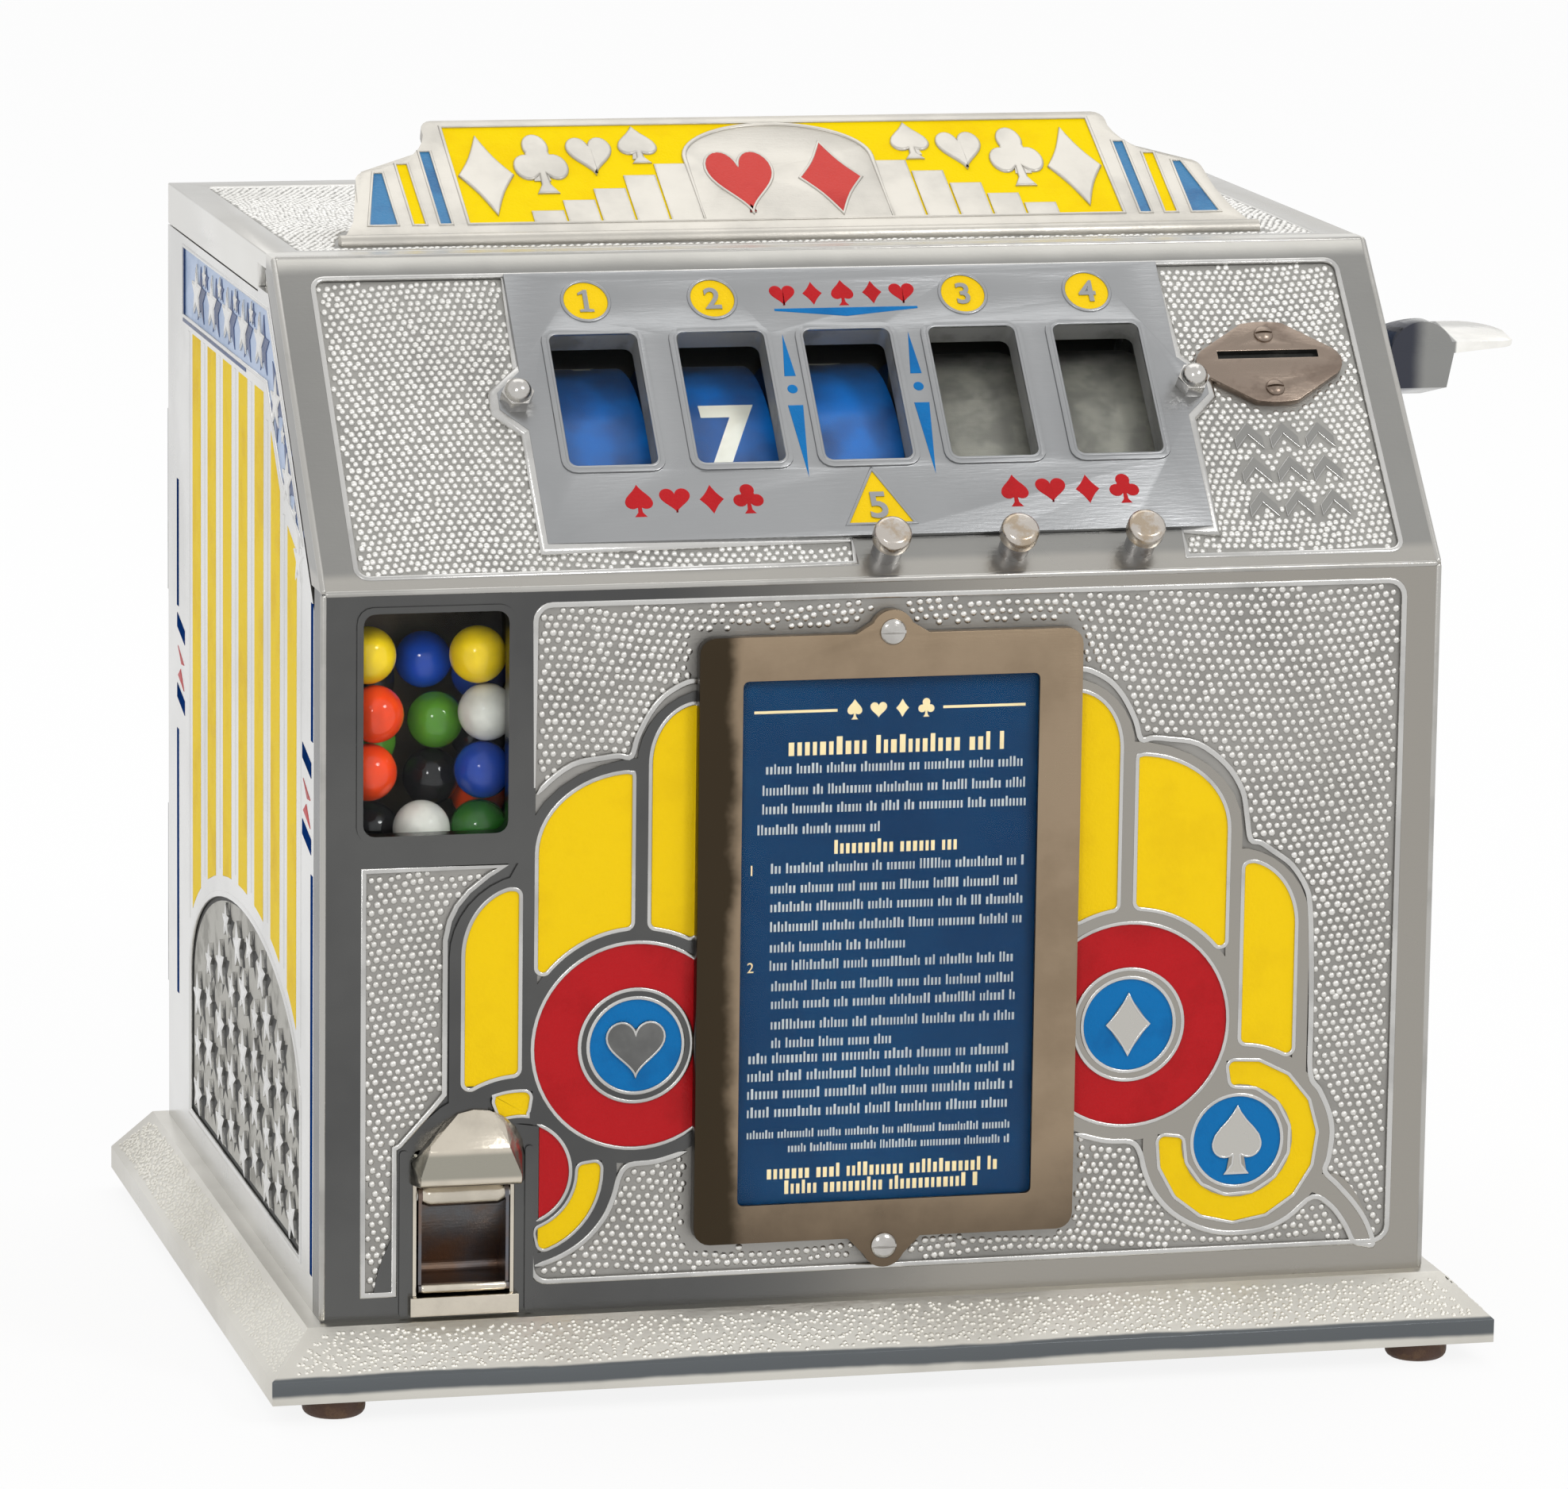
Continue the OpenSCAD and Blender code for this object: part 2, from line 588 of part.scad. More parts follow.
module marquee() {
  rise = sign_l * sin(sign_lean);
  run = sign_l * cos(sign_lean);
  back_y = sign_y + run + 1;
  color("silver") place() {
    difference() {
      union() {
        on_sign(0, sign_t) sign_outline();
        // Walls under the sloping face, down to the top casting
        intersection() {
          translate([0, 0, top_z - top_depth]) linear_extrude(rise + 4) union() {
            for (s = [0, 1]) mirror([s, 0, 0]) polygon([[0, sign_y - 2], [half_sign - 1, sign_y - 2],
              [half_sign - 6, sign_y + 0.42 * run], [half_sign - 9, sign_y + 0.6 * run],
              [half_sign - 27, sign_y + 0.78 * run], [half_sign - 30, back_y - 2], [0, back_y - 2]]);
          }
          across(-half_sign, half_sign) polygon([[sign_y - 3, top_z - 1], [sign_y - 3, top_z + 0.5],
            [sign_y, sign_z - 1], [back_y - 3, sign_z + rise - 2.6], [back_y, sign_z + rise - 2.6],
            [back_y, top_z - 1]]);
        }
        rod_x(-half_sign - 2, half_sign + 2, sign_y - 2, top_z, bead_r);
      }
      // Hollow underneath
      intersection() {
        translate([0, 0, top_z - 2]) linear_extrude(rise + 2) for (s = [0, 1]) mirror([s, 0, 0])
          polygon([[0, sign_y + 6], [half_sign - 12, sign_y + 6], [half_sign - 14, sign_y + 0.5 * run],
            [half_sign - 33, sign_y + 0.7 * run], [half_sign - 36, back_y - 6], [0, back_y - 6]]);
        across(-half_sign, half_sign) polygon([[sign_y, top_z - 2], [sign_y + 6, sign_z - 1],
          [back_y - 6, sign_z + rise - 8], [back_y - 6, top_z - 2]]);
      }
      translate([-half_sign - 5, sign_y - 10, top_z - 5]) cube([sign_w + 10, run + 20, 5 - top_depth]);
      on_sign(-cut, enamel_depth) { sign_field(); sign_bars(); mirror([1, 0]) sign_bars(); }
    }
  }
}

// Rear door, hinge and lock

door_x = half_w - wall - 2;
door_top = top_z - skirt_h - 1;
door_low = base_z + 2;
pin_x = -half_w + wall;
pin_y = case_d + 3;
knuckle_r = 2.4;
pin_r = 1.4;
hinge_low = base_z + 38;
hinge_high = base_z + 198;
leaf_t = 1.2;
lock_x = half_w - 17;
lock_r = 8;
lock_head = 2.5;
lock_body = 12;
module rear_door() {
  color("silver") place() {
    difference() {
      box([-door_x, case_d - wall, door_low], [door_x, case_d, door_top]);
      translate([lock_x, case_d - wall - cut, strike_z]) rotate([-90, 0, 0])
        cylinder(h = wall + 2 * cut, r = lock_r);
    }
    box([pin_x + 3.2, case_d, hinge_low + 51], [pin_x + 18, case_d + leaf_t, hinge_high - 51]);
    difference() {
      union() {
        translate([pin_x, pin_y, hinge_low + 51])
          cylinder(h = hinge_high - hinge_low - 102, r = knuckle_r);
        box([pin_x, case_d + 0.6, hinge_low + 51], [pin_x + 4, case_d + 0.6 + leaf_t, hinge_high - 51]);
      }
      translate([pin_x, pin_y, hinge_low]) cylinder(h = hinge_high - hinge_low, r = pin_r + fit);
    }
  }
}
module door_hinge() {
  color("gray") place() {
    translate([pin_x, pin_y, hinge_low - 1]) cylinder(h = hinge_high - hinge_low + 2, r = pin_r);
    for (z = [[hinge_low, hinge_low + 50], [hinge_high - 50, hinge_high]]) {
      difference() {
        translate([pin_x, pin_y, z[0]]) cylinder(h = z[1] - z[0], r = knuckle_r);
        translate([pin_x, pin_y, z[0] - cut]) cylinder(h = z[1] - z[0] + 2 * cut, r = pin_r);
      }
      box([pin_x - wall, case_d, z[0]], [pin_x - 1.8, case_d + leaf_t, z[1]]);
      box([pin_x - 2.6, case_d, z[0]], [pin_x - 1.4, pin_y, z[1]]);
    }
  }
}
module door_lock() {
  color("goldenrod") place() translate([lock_x, 0, strike_z]) rotate([-90, 0, 0]) difference() {
    union() {
      translate([0, 0, case_d]) cylinder(h = lock_head, r = lock_r + 2.5);
      translate([0, 0, case_d - lock_body]) cylinder(h = lock_body, r = lock_r);
    }
    translate([-0.8, -3.5, case_d + 0.5]) cube([1.6, 7, lock_head]);
  }
}
cam_t = 2;
module lock_cam() {
  y1 = case_d - lock_body - 0.2;
  color("gray") place() translate([lock_x, y1, strike_z]) rotate([90, 0, 0]) linear_extrude(cam_t) {
    circle(6);
    translate([-4.5, 0]) square([9, 11.5]);
  }
}

// Reel window plate, glass and nuts

plate_low = 12.4;
plate_high = 95;
plate_half = 86.4;
plate_out = 1.2;
number_r = 5.8;
number_spots = [[reel_x(1), 86], [reel_x(2), 86], [reel_x(4), 86], [reel_x(5), 86]];
ear = [[0, -9], [6.6, -2.6], [6.6, 2.6], [0, 9]];
module plate_outline() {
  polygon(concat([[-plate_half, plate_low], [plate_half, plate_low]],
    [for (e = ear) [plate_half + e[0], nut_spot[1] + e[1]]], [[plate_half, plate_high]],
    [[-plate_half, plate_high]],
    [for (e = ear) [-plate_half - e[0], nut_spot[1] - e[1]]]));
}
module reel_window_plate() {
  color("darkgray") place() difference() {
    union() {
      on_slope(-plate_out, field_depth) plate_outline();
      for (i = [1:5]) on_slope(-plate_out - 0.7, 0) translate([reel_x(i), win_u])
        polygon(rounded(-win_w / 2 - 1.9, -win_h / 2 - 1.9, win_w / 2 + 1.9, win_h / 2 + 1.9, 3.8));
    }
    on_slope(-5, slope_t) slope_holes();
    on_slope(-5, -plate_out + 0.4) {
      for (p = number_spots) translate(p) circle(number_r);
      translate([reel_x(3), 22.4]) polygon([[-8.4, -6.4], [8.4, -6.4], [0, 9.4]]);
    }
    for (s = [-1, 1]) rod_slope(s * nut_spot[0], nut_spot[1], -5, slope_t, stud_r + 0.1);
    // Room for the buttons
    for (i = [3:5]) rod_slope(reel_x(i), button_u, -5, slope_t, button_r + loose);
  }
}
module window_glass() {
  color("lightblue", 0.4) place() on_slope(slope_t, slope_t + glass_t)
    translate([reel_x(1) - win_w / 2 - 3, win_u - win_h / 2 - 3])
      square([reel_x(5) - reel_x(1) + win_w + 6, win_h + 6]);
}
nut_r = 4.2;
nut_h = 4;
module plate_nuts() {
  color("gainsboro") place() for (s = [-1, 1]) {
    on_slope(-plate_out - nut_h, -plate_out) translate([s * nut_spot[0], nut_spot[1]])
      circle(nut_r, $fn = 6);
    at_slope(s * nut_spot[0], nut_spot[1], plate_out + nut_h)
      rotate_extrude() polygon(concat(arc([0, 0], 3.5, 0, 90, 8), [[0, -0.2], [3.5, -0.2]]));
    rod_slope(s * nut_spot[0], nut_spot[1], -plate_out, slope_t + 2, stud_r);
  }
}

// Coin entry

coin_plate_t = 2;
coin_half = [19.6, 12.6];
module coin_plate() {
  color("rosybrown") place() difference() {
    on_slope(field_depth - coin_plate_t - 0.2, field_depth) translate(coin_c) polygon(concat(
      oval([coin_half[0] - 6, 0], [6, 5.4], -62, 62, 8), oval([0, coin_half[1] - 5], [12, 5], 62, 118, 6),
      oval([-coin_half[0] + 6, 0], [6, 5.4], 118, 242, 8),
      oval([0, -coin_half[1] + 5], [12, 5], 242, 298, 6)));
    on_slope(-5, slope_t) translate([coin_c[0] - slot_w / 2, coin_c[1] + 1.2]) square([slot_w, slot_h]);
    for (u = coin_screw_u) rod_slope(coin_c[0], u, -5, slope_t, screw_r + 0.1);
  }
}
// Low domed head, in radius and height
function dome(r) = concat(oval([0, 0], [r, 0.45 * r], 0, 90, 6), [[0, 0]]);
module screw_slope(x, u, top, r, l) {
  at_slope(x, u, top) difference() {
    union() {
      rotate_extrude() polygon(dome(r));
      translate([0, 0, -l]) cylinder(h = l, r = screw_r);
    }
    translate([-r, -0.3, 0.25]) cube([2 * r, 0.6, r]);
  }
}
module coin_plate_screws() {
  color("gainsboro") place() for (u = coin_screw_u)
    screw_slope(coin_c[0], u, coin_plate_t + 0.2 - field_depth, 2.5, coin_plate_t + 2.5);
}
chute_w = slot_w + 1;
chute_top = sl(coin_c[1] + 2.4, slope_t + 0.1);
chute_bend = sl(coin_c[1] + 2.4, slope_t + 16);
cash_x = [half_w - wall - 50, half_w - wall - 1];
cash_y = [36, 120];
cash_h = 46;
module path2(pts, w) {
  for (i = [0:len(pts) - 2]) let (d = pts[i + 1] - pts[i], l = norm(d)) translate(pts[i])
    rotate(atan2(d[1], d[0])) translate([i == 0 ? 0 : -w / 2, -w / 2])
      square([l + (i == 0 ? w / 2 : i == len(pts) - 2 ? w / 2 : w), w]);
}
module coin_chute() {
  pts = [chute_top, chute_bend, [chute_bend[0], base_z + cash_h + 3]];
  more = [chute_top - 4 * (chute_bend - chute_top) / norm(chute_bend - chute_top), chute_bend,
    [chute_bend[0], base_z]];
  color("darkgray") place() {
    difference() {
      across(coin_c[0] - chute_w / 2 - sheet, coin_c[0] + chute_w / 2 + sheet) path2(pts, 6);
      across(coin_c[0] - chute_w / 2, coin_c[0] + chute_w / 2) path2(more, 4);
    }
    // Foot that rests on the frame's shelf
    box([frame_x + frame_t, chute_bend[0] + 3, axis_z - 30],
      [coin_c[0] + chute_w / 2 + sheet, chute_bend[0] + 4, axis_z - 18]);
  }
}
module cash_box() {
  color("darkgray") place() difference() {
    box([cash_x[0], cash_y[0], base_z], [cash_x[1], cash_y[1], base_z + cash_h]);
    box([cash_x[0] + sheet, cash_y[0] + sheet, base_z + sheet],
      [cash_x[1] - sheet, cash_y[1] - sheet, base_z + cash_h + cut]);
  }
}

// Card frame, card and glass

tab_r = 5.6;
function corner(sx, z, a) = arc([sx * (card_w / 2 - 4.2), z], 4.2, a, a + 90, 5);
module frame_outline() {
  polygon(concat(corner(1, card_high - 4.2, 0), [[9.5, card_high]], arc([0, screw_z[1]], tab_r, 24, 156, 12),
    [[-9.5, card_high]], corner(-1, card_high - 4.2, 90), corner(-1, card_low + 4.2, 180),
    [[-9.5, card_low]], arc([0, screw_z[0]], tab_r, 204, 336, 12), [[9.5, card_low]],
    corner(1, card_low + 4.2, 270)));
}
module card_frame() {
  o = card_border;
  color("rosybrown") place() difference() {
    on_front(-frame_stand, 0) frame_outline();
    on_front(-frame_stand - cut, cut) polygon(rounded(-card_w / 2 + o, card_low + o - 1.4, card_w / 2 - o,
      card_high - o, 1.5));
    on_front(-card_t - card_glass_t, cut) square_at(card_rebate);
    for (z = screw_z) translate([0, cut, z]) rotate([90, 0, 0])
      cylinder(h = frame_stand + 2 * cut, r = screw_r + 0.1);
  }
}
module square_at(grow) {
  o = card_border - grow;
  translate([-card_w / 2 + o, card_low + o]) square([card_w - 2 * o, card_high - card_low - 2 * o]);
}
module instruction_card() {
  color("midnightblue") place() on_front(-card_t, 0) square_at(card_rebate - 0.2);
}
module card_glass() {
  color("lightblue", 0.3) place() on_front(-card_t - card_glass_t, -card_t) square_at(card_rebate - 0.2);
}
module frame_screws() {
  color("gainsboro") place()
    for (z = screw_z) translate([0, -frame_stand, z]) rotate([90, 0, 0]) difference() {
    union() {
      rotate_extrude() polygon(dome(3.4));
      translate([0, 0, -frame_stand - wall]) cylinder(h = frame_stand + wall, r = screw_r);
    }
    translate([-3.4, -0.4, 0.4]) cube([6.8, 0.8, 3]);
  }
}

// Gumball window, magazine and cup

module gum_window_glass() {
  color("lightblue", 0.3) place() on_front(wall, wall + glass_t)
    polygon([[gum_x - 1.9, gum_bottom - 2], [gum_x + gum_w + 1.9, gum_bottom - 2],
      [gum_x + gum_w + 1.9, gum_top + 1], [gum_x - 1.9, gum_top + 1]]);
}
mag_x0 = gum_x - 5.3;
mag_x1 = gum_x + gum_w + 6.8;
mag_y1 = wall + glass_t + 31.2;
mag_top = gum_top + 2;
axle_r = 3;
wheel_w = 20;
exit_z = wheel_z + wheel_r + 2;
exit_x = cup_x + cup_w / 2;
cheek_x = [exit_x - wheel_w / 2 - 2, exit_x + wheel_w / 2 + 2];
module hopper(in, floor_z) {
  polygon([[mag_x0 + in, mag_top - in], [mag_x1 - in, mag_top - in], [mag_x1 - in, gum_bottom - 4],
    [cheek_x[1] - in, floor_z], [cheek_x[0] + in, floor_z], [mag_x0 + in, gum_bottom - 4]]);
}
module gum_magazine() {
  back = wheel_y + wheel_r + 6;
  color("darkgray") place() {
    difference() {
      on_front(wall, mag_y1 + sheet) hopper(0, exit_z);
      on_front(wall - cut, mag_y1) hopper(sheet, exit_z + sheet);
      translate([exit_x, wheel_y, exit_z - cut]) cylinder(h = 3 * cut, r = ball_r + 0.8);
    }
    // Cheeks beside the wheel
    for (x = [cheek_x[0], cheek_x[1] - sheet]) difference() {
      across(x, x + sheet) polygon([[wall, exit_z + 0.5], [mag_y1 + sheet, exit_z + 0.5], [back, exit_z - 6],
        [back, wheel_z - 12], [wall + 13, cup_z + 6.5], [wall + 13, cup_z + 28], [wall, cup_z + 40]]);
      rod_x(x - cut, x + 2 * sheet, wheel_y, wheel_z, axle_r + fit);
    }
    // Chute behind and under the wheel, down to the sill of the cup
    across(cheek_x[0], cheek_x[1]) polygon([[back - 1, exit_z - 6], [back - 1, wheel_z - 11],
      [wall + 12.4, cup_z + 7], [wall + 0.2, cup_z + 1.7], [wall + 0.2, cup_z + 0.4],
      [wall + 13, cup_z + 5.8], [back, wheel_z - 12.4], [back, exit_z - 6]]);
  }
}
// Centres measured from the window's lower left corner and the back of its glass
ball_spots = [[3.6, 7.7, 43.5], [20.5, 21.7, 39.5], [31.7, 7.7, 42.9], [5.6, 7.7, 28.5],
  [22.8, 17.2, 24.8], [34, 7.7, 28.2], [3.9, 7.7, 13.8], [21.9, 18.2, 10.1], [33, 7.7, 13.5],
  [6.4, 17.2, -2.9], [17.5, 7.7, -1.1], [32.2, 7.7, -1.3], [6.1, 22.5, 34.5], [6.6, 22.5, 19],
  [35.1, 22.5, 35.5], [35.2, 23.4, 19.6], [35.1, 22.5, 4.9]];
module gumballs() {
  color("gold") place() {
    for (p = ball_spots) translate([gum_x, wall + glass_t, gum_bottom] + p) sphere(ball_r, $fn = 32);
    translate([exit_x, wheel_y, wheel_z + wheel_r + ball_r + loose]) sphere(ball_r, $fn = 32);
  }
}
module gum_wheel() {
  color("brown") place() difference() {
    union() {
      rod_x(exit_x - wheel_w / 2, exit_x + wheel_w / 2, wheel_y, wheel_z, wheel_r);
      rod_x(exit_x - wheel_w / 2 - 4, -frame_x - frame_t, wheel_y, wheel_z, axle_r);
    }
    // Pocket for one ball, turned down to the chute at rest
    translate([exit_x, wheel_y - wheel_r * sin(110), wheel_z + wheel_r * cos(110)]) sphere(ball_r + 0.8);
  }
}
hood_low = hinge_bar_z + 3.4;
hood_top = cup_z + 50;
hood_out = 7;
cup_lip = 2.4;
module cup_hood() {
  x0 = cup_x - 0.6;
  x1 = cup_x + cup_w + 2.4;
  mid = cup_x + cup_w * 0.62;
  color("gainsboro") place() difference() {
    union() {
      // Domed hood: an arched back on the casting drawn to a low rounded front
      hull() {
        on_front(-0.8, 0) polygon(concat([[x0, hood_low], [x1, hood_low], [x1, cup_z + 38]],
          oval([mid, cup_z + 38], [x1 - mid, hood_top - cup_z - 38], 0, 150, 8), [[x0, cup_z + 37]]));
        rod_x(x0 + 1.5, x1 - 2, -hood_out + 2, hood_low + 2, 2);
        rod_x(x0 + 4, x1 - 5, -hood_out + 2.4, hood_low + 9, 2);
      }
      box([cup_x + loose, 0, hood_low], [cup_x + cup_w - loose, wall + 3, cup_z + 39]);
      for (x = [cup_x + 0.1, cup_x + cup_w - 1.1])
        box([x, 0, cup_z + 1.6], [x + sheet, wall + 12.8, cup_z + 38.3]);
      // Sill between the cheeks and its turned-down lip over the casting
      box([cup_x + 0.1, -cup_lip, cup_z + 1.4], [cup_x + cup_w - 0.1, wall, cup_z + 2.2]);
      box([cup_x - 0.8, -cup_lip, cup_z - 2.6], [cup_x + cup_w + 0.8, 0, cup_z + 2.2]);
    }
    rod_x(cup_x - cut, cup_x + cup_w + cut, hinge_bar_y, hinge_bar_z, pin_r);
  }
}
flap_x = [cup_x + 1.5, cup_x + cup_w - 1.5];
flap_back = 10.5;
// Bent sheet: leans in from the hinge, then its foot runs forward to the lip
module flap_sheet() {
  low = cup_z + 3.2;
  y0 = hinge_bar_y - 1;
  polygon(concat([[y0, hinge_bar_z], [y0 + 2.4, hinge_bar_z - 4]],
    arc([y0 + flap_back - 2.6, low + 4.6], 2.9, 20, -75, 6), [[y0 - 1, low], [y0 - 1, low + 1]],
    arc([y0 + flap_back - 2.6, low + 4.6], 1.9, -75, 20, 6),
    [[y0 + 1.3, hinge_bar_z - 4], [y0 - 1, hinge_bar_z]]));
}
module cup_flap() {
  low = cup_z + 3.2;
  y0 = hinge_bar_y - 1;
  color("dimgray") place() difference() {
    union() {
      across(flap_x[0], flap_x[1]) flap_sheet();
      for (x = [flap_x[0], flap_x[1] - 0.8]) across(x, x + 0.8)
        polygon(concat([[y0 - 1, hinge_bar_z], [y0 + 2, hinge_bar_z - 4]],
          arc([y0 + flap_back - 2.6, low + 4.6], 2.8, 20, -75, 6), [[y0 - 0.8, low + 0.2]]));
      rod_x(flap_x[0], flap_x[1], hinge_bar_y, hinge_bar_z, hinge_bar_r);
      rod_x(flap_x[0], flap_x[1], y0 - 0.6, low + 0.9, 1.1);
    }
    rod_x(flap_x[0] - cut, flap_x[1] + cut, hinge_bar_y, hinge_bar_z, pin_r + fit);
  }
}
// Pin with the coil of the flap's return spring at its left end
module flap_pin() {
  color("silver") place() {
    rod_x(cup_x + 0.1, cup_x + cup_w - 0.1, hinge_bar_y, hinge_bar_z, pin_r);
    rod_x(cup_x + 1.1, cup_x + 1.3, hinge_bar_y, hinge_bar_z, hinge_bar_r - 0.3);
  }
}

// Lever and its parts

pad_z = pivot_z + 8.4;
pad_l = 18;
pad_rise = 9.5;
// Hub: arched front face drawn in x and z, cut to a rounded back in y and z; then the thumb paddle
module lever() {
  x0 = hub_x - hub_r;
  x1 = hub_x + hub_r;
  shaft_end = hub_x + 4.5;
  color("silver") place() {
    difference() {
      intersection() {
        translate([0, pivot_y + 12, 0]) rotate([90, 0, 0]) linear_extrude(pivot_y + 12 - hub_front)
          polygon(concat(arc([hub_x, pivot_z + 5.2], hub_r, 0, 180, 20),
            [[hub_x - 5, pivot_z - 9], [hub_x + 5.8, pivot_z - 9]]));
        // Its back falls away behind the front face
        across(x0, x1) polygon(concat([[hub_front, pivot_z - 3.6], [hub_front, pivot_z + 16],
          [hub_front + 2, pivot_z + 15.5]], oval([pivot_y - 2, pivot_z + 1], [11, 8.5], 60, 0, 6),
          arc([pivot_y, pivot_z], 8, 0, -100, 8)));
      }
      rod_x(x0 - cut, shaft_end, pivot_y, pivot_z, lever_shaft_r);
    }
    translate([0, hub_front, pad_z]) rotate([pad_rise, 0, 0]) intersection() {
      translate([0, 0, -6]) linear_extrude(8) polygon(concat([[hub_x + 6, 0]],
        arc([lever_tip - 3, 3], 3, -90, 0, 5), oval([lever_tip - 12, 5], [12, pad_l - 5], 12, 90, 7),
        [[hub_x + 3, pad_l]]));
      translate([0, pad_l + cut, 0]) rotate([90, 0, 0]) linear_extrude(pad_l + 2 * cut)
        polygon([[hub_x + 1, 0], [lever_tip - 0.6, 0], [lever_tip, -0.7], [lever_tip - 0.8, -1.6],
          [hub_x + 8, -3.2], [hub_x + 1, -3.2]]);
    }
  }
}
module lever_shaft() {
  color("gray") place() rod_x(frame_x + 0.2, hub_x + 4.5, pivot_y, pivot_z, lever_shaft_r);
}
crank_x = [frame_x + frame_t + 1.5, frame_x + frame_t + 5.5];
crank_l = 26;
module lever_crank() {
  color("gray") place() difference() {
    across(crank_x[0], crank_x[1]) union() {
      translate([pivot_y, pivot_z]) circle(10);
      translate([pivot_y, pivot_z - 4]) square([crank_l, 8]);
      translate([pivot_y + crank_l, pivot_z]) circle(4);
    }
    rod_x(crank_x[0] - cut, crank_x[1] + cut, pivot_y, pivot_z, lever_shaft_r);
  }
}
bush_in = 8;
module lever_bush() {
  color("goldenrod") place() difference() {
    union() {
      rod_x(half_w - wall - bush_in, half_w + 4.2, pivot_y, pivot_z, bush_r);
      rod_x(half_w - wall - 2, half_w - wall, pivot_y, pivot_z, bush_r + 3);
    }
    rod_x(half_w - wall - bush_in - cut, half_w + 5 + cut, pivot_y, pivot_z, lever_shaft_r + fit);
  }
}
module lever_spring() {
  color("gray") place() difference() {
    rod_x(half_w - wall - 10, half_w - wall - 2, pivot_y, pivot_z, bush_r + 2.1);
    rod_x(half_w - wall - 10 - cut, half_w - wall - 2 + cut, pivot_y, pivot_z, bush_r + 0.2);
  }
}

// Buttons, drawn at the reel whose window they serve

collar_t = 1.5;
stem_end = guide_d + collar_t + 0.3 + 6;
module button(i) {
  color("tan") place() {
    translate([0, 0, seam_z]) rotate([slope_a, 0, 0]) translate([reel_x(i), button_u, 0]) rotate_extrude()
      polygon([[0, button_travel + 0.8], [button_r, button_travel + 0.8], [button_r, button_h - 1],
        [button_r - 1, button_h], [0, button_h]]);
    rod_slope(reel_x(i), button_u, -button_travel - 1, stem_end, stem_r);
    rod_slope(reel_x(i), button_u, guide_d + 0.2, guide_d + 0.2 + collar_t, 4);
  }
}
module house_button() { button(3); }
module draw_3_button() { button(4); }
module draw_4_button() { button(5); }
module button_springs() {
  color("gray") place() for (i = [3:5]) difference() {
    rod_slope(reel_x(i), button_u, -button_travel - 0.6, 0, 3.8);
    rod_slope(reel_x(i), button_u, -button_travel - 0.6 - cut, cut, stem_r + 0.2);
  }
}

// Shutters, reels and star wheels

shut_a = [180 - slope_a - 49, 180 - slope_a + 31];
arm_r = 9;
module shutter(i, open) {
  x0 = reel_x(i) - reel_w / 2 - shutter_side;
  x1 = reel_x(i) + reel_w / 2 + shutter_side_r;
  a0 = shut_a[0] + open;
  a1 = shut_a[1] + open;
  mid = (a0 + a1) / 2;
  color("darkkhaki") place() {
    across(x0, x1) polygon(concat(arc([axis_y, axis_z], shutter_ro, a0, a1, 16),
      arc([axis_y, axis_z], shutter_ro - shutter_t, a1, a0, 16)));
    for (x = [x0 - shutter_t, x1]) difference() {
      across(x, x + shutter_t) union() {
        translate([axis_y, axis_z]) circle(arm_r);
        polygon(concat([polar([axis_y, axis_z], arm_r, mid + 90)],
          arc([axis_y, axis_z], shutter_ro, mid + 34, mid - 34, 12),
          [polar([axis_y, axis_z], arm_r, mid - 90)]));
      }
      rod_x(x - cut, x + 2 * cut, axis_y, axis_z, shaft_r + fit);
    }
  }
}
module house_shutter() { shutter(3, shutter_turn); }
module draw_3_shutter() { shutter(4, 0); }
module draw_4_shutter() { shutter(5, 0); }
rim_t = 2;
hub_reel_r = 9;
module reel(i) {
  x0 = reel_x(i) - reel_w / 2;
  x1 = reel_x(i) + reel_w / 2;
  color("royalblue") place() difference() {
    union() {
      difference() {
        rod_x(x0, x1, axis_y, axis_z, reel_r);
        rod_x(x0 + rim_t, x1 + cut, axis_y, axis_z, reel_r - rim_t);
        for (a = [0:60:300]) rod_x(x0 - cut, x1, axis_y + 26 * cos(a), axis_z + 26 * sin(a), 8);
      }
      rod_x(x0, x1, axis_y, axis_z, hub_reel_r);
      rod_x(x0, x1 + star_t, axis_y, axis_z, hub_reel_r - 2);
    }
    rod_x(x0 - cut, x1 + star_t + cut, axis_y, axis_z, shaft_r + fit);
  }
}
module reel_1() { reel(1); }
module reel_2() { reel(2); }
module reel_3() { reel(3); }
module reel_4() { reel(4); }
module reel_5() { reel(5); }
teeth = 12;
module star_wheel(i) {
  x = reel_x(i) + reel_w / 2;
  color("gray") place() difference() {
    across(x, x + star_t) translate([axis_y, axis_z]) polygon([for (k = [0:teeth - 1], s = [0, 1])
      let (a = (k + s / 2) * 360 / teeth + 15, q = star_r - 4 * s) [q * cos(a), q * sin(a)]]);
    rod_x(x - cut, x + star_t + cut, axis_y, axis_z, hub_reel_r - 2);
  }
}
module star_wheel_1() { star_wheel(1); }
module star_wheel_2() { star_wheel(2); }
module star_wheel_3() { star_wheel(3); }
module star_wheel_4() { star_wheel(4); }
module star_wheel_5() { star_wheel(5); }
module reel_shaft() {
  color("silver") place() rod_x(-frame_x - frame_t - 2, frame_x + frame_t - 0.2, axis_y, axis_z, shaft_r);
}

// Mechanism frame

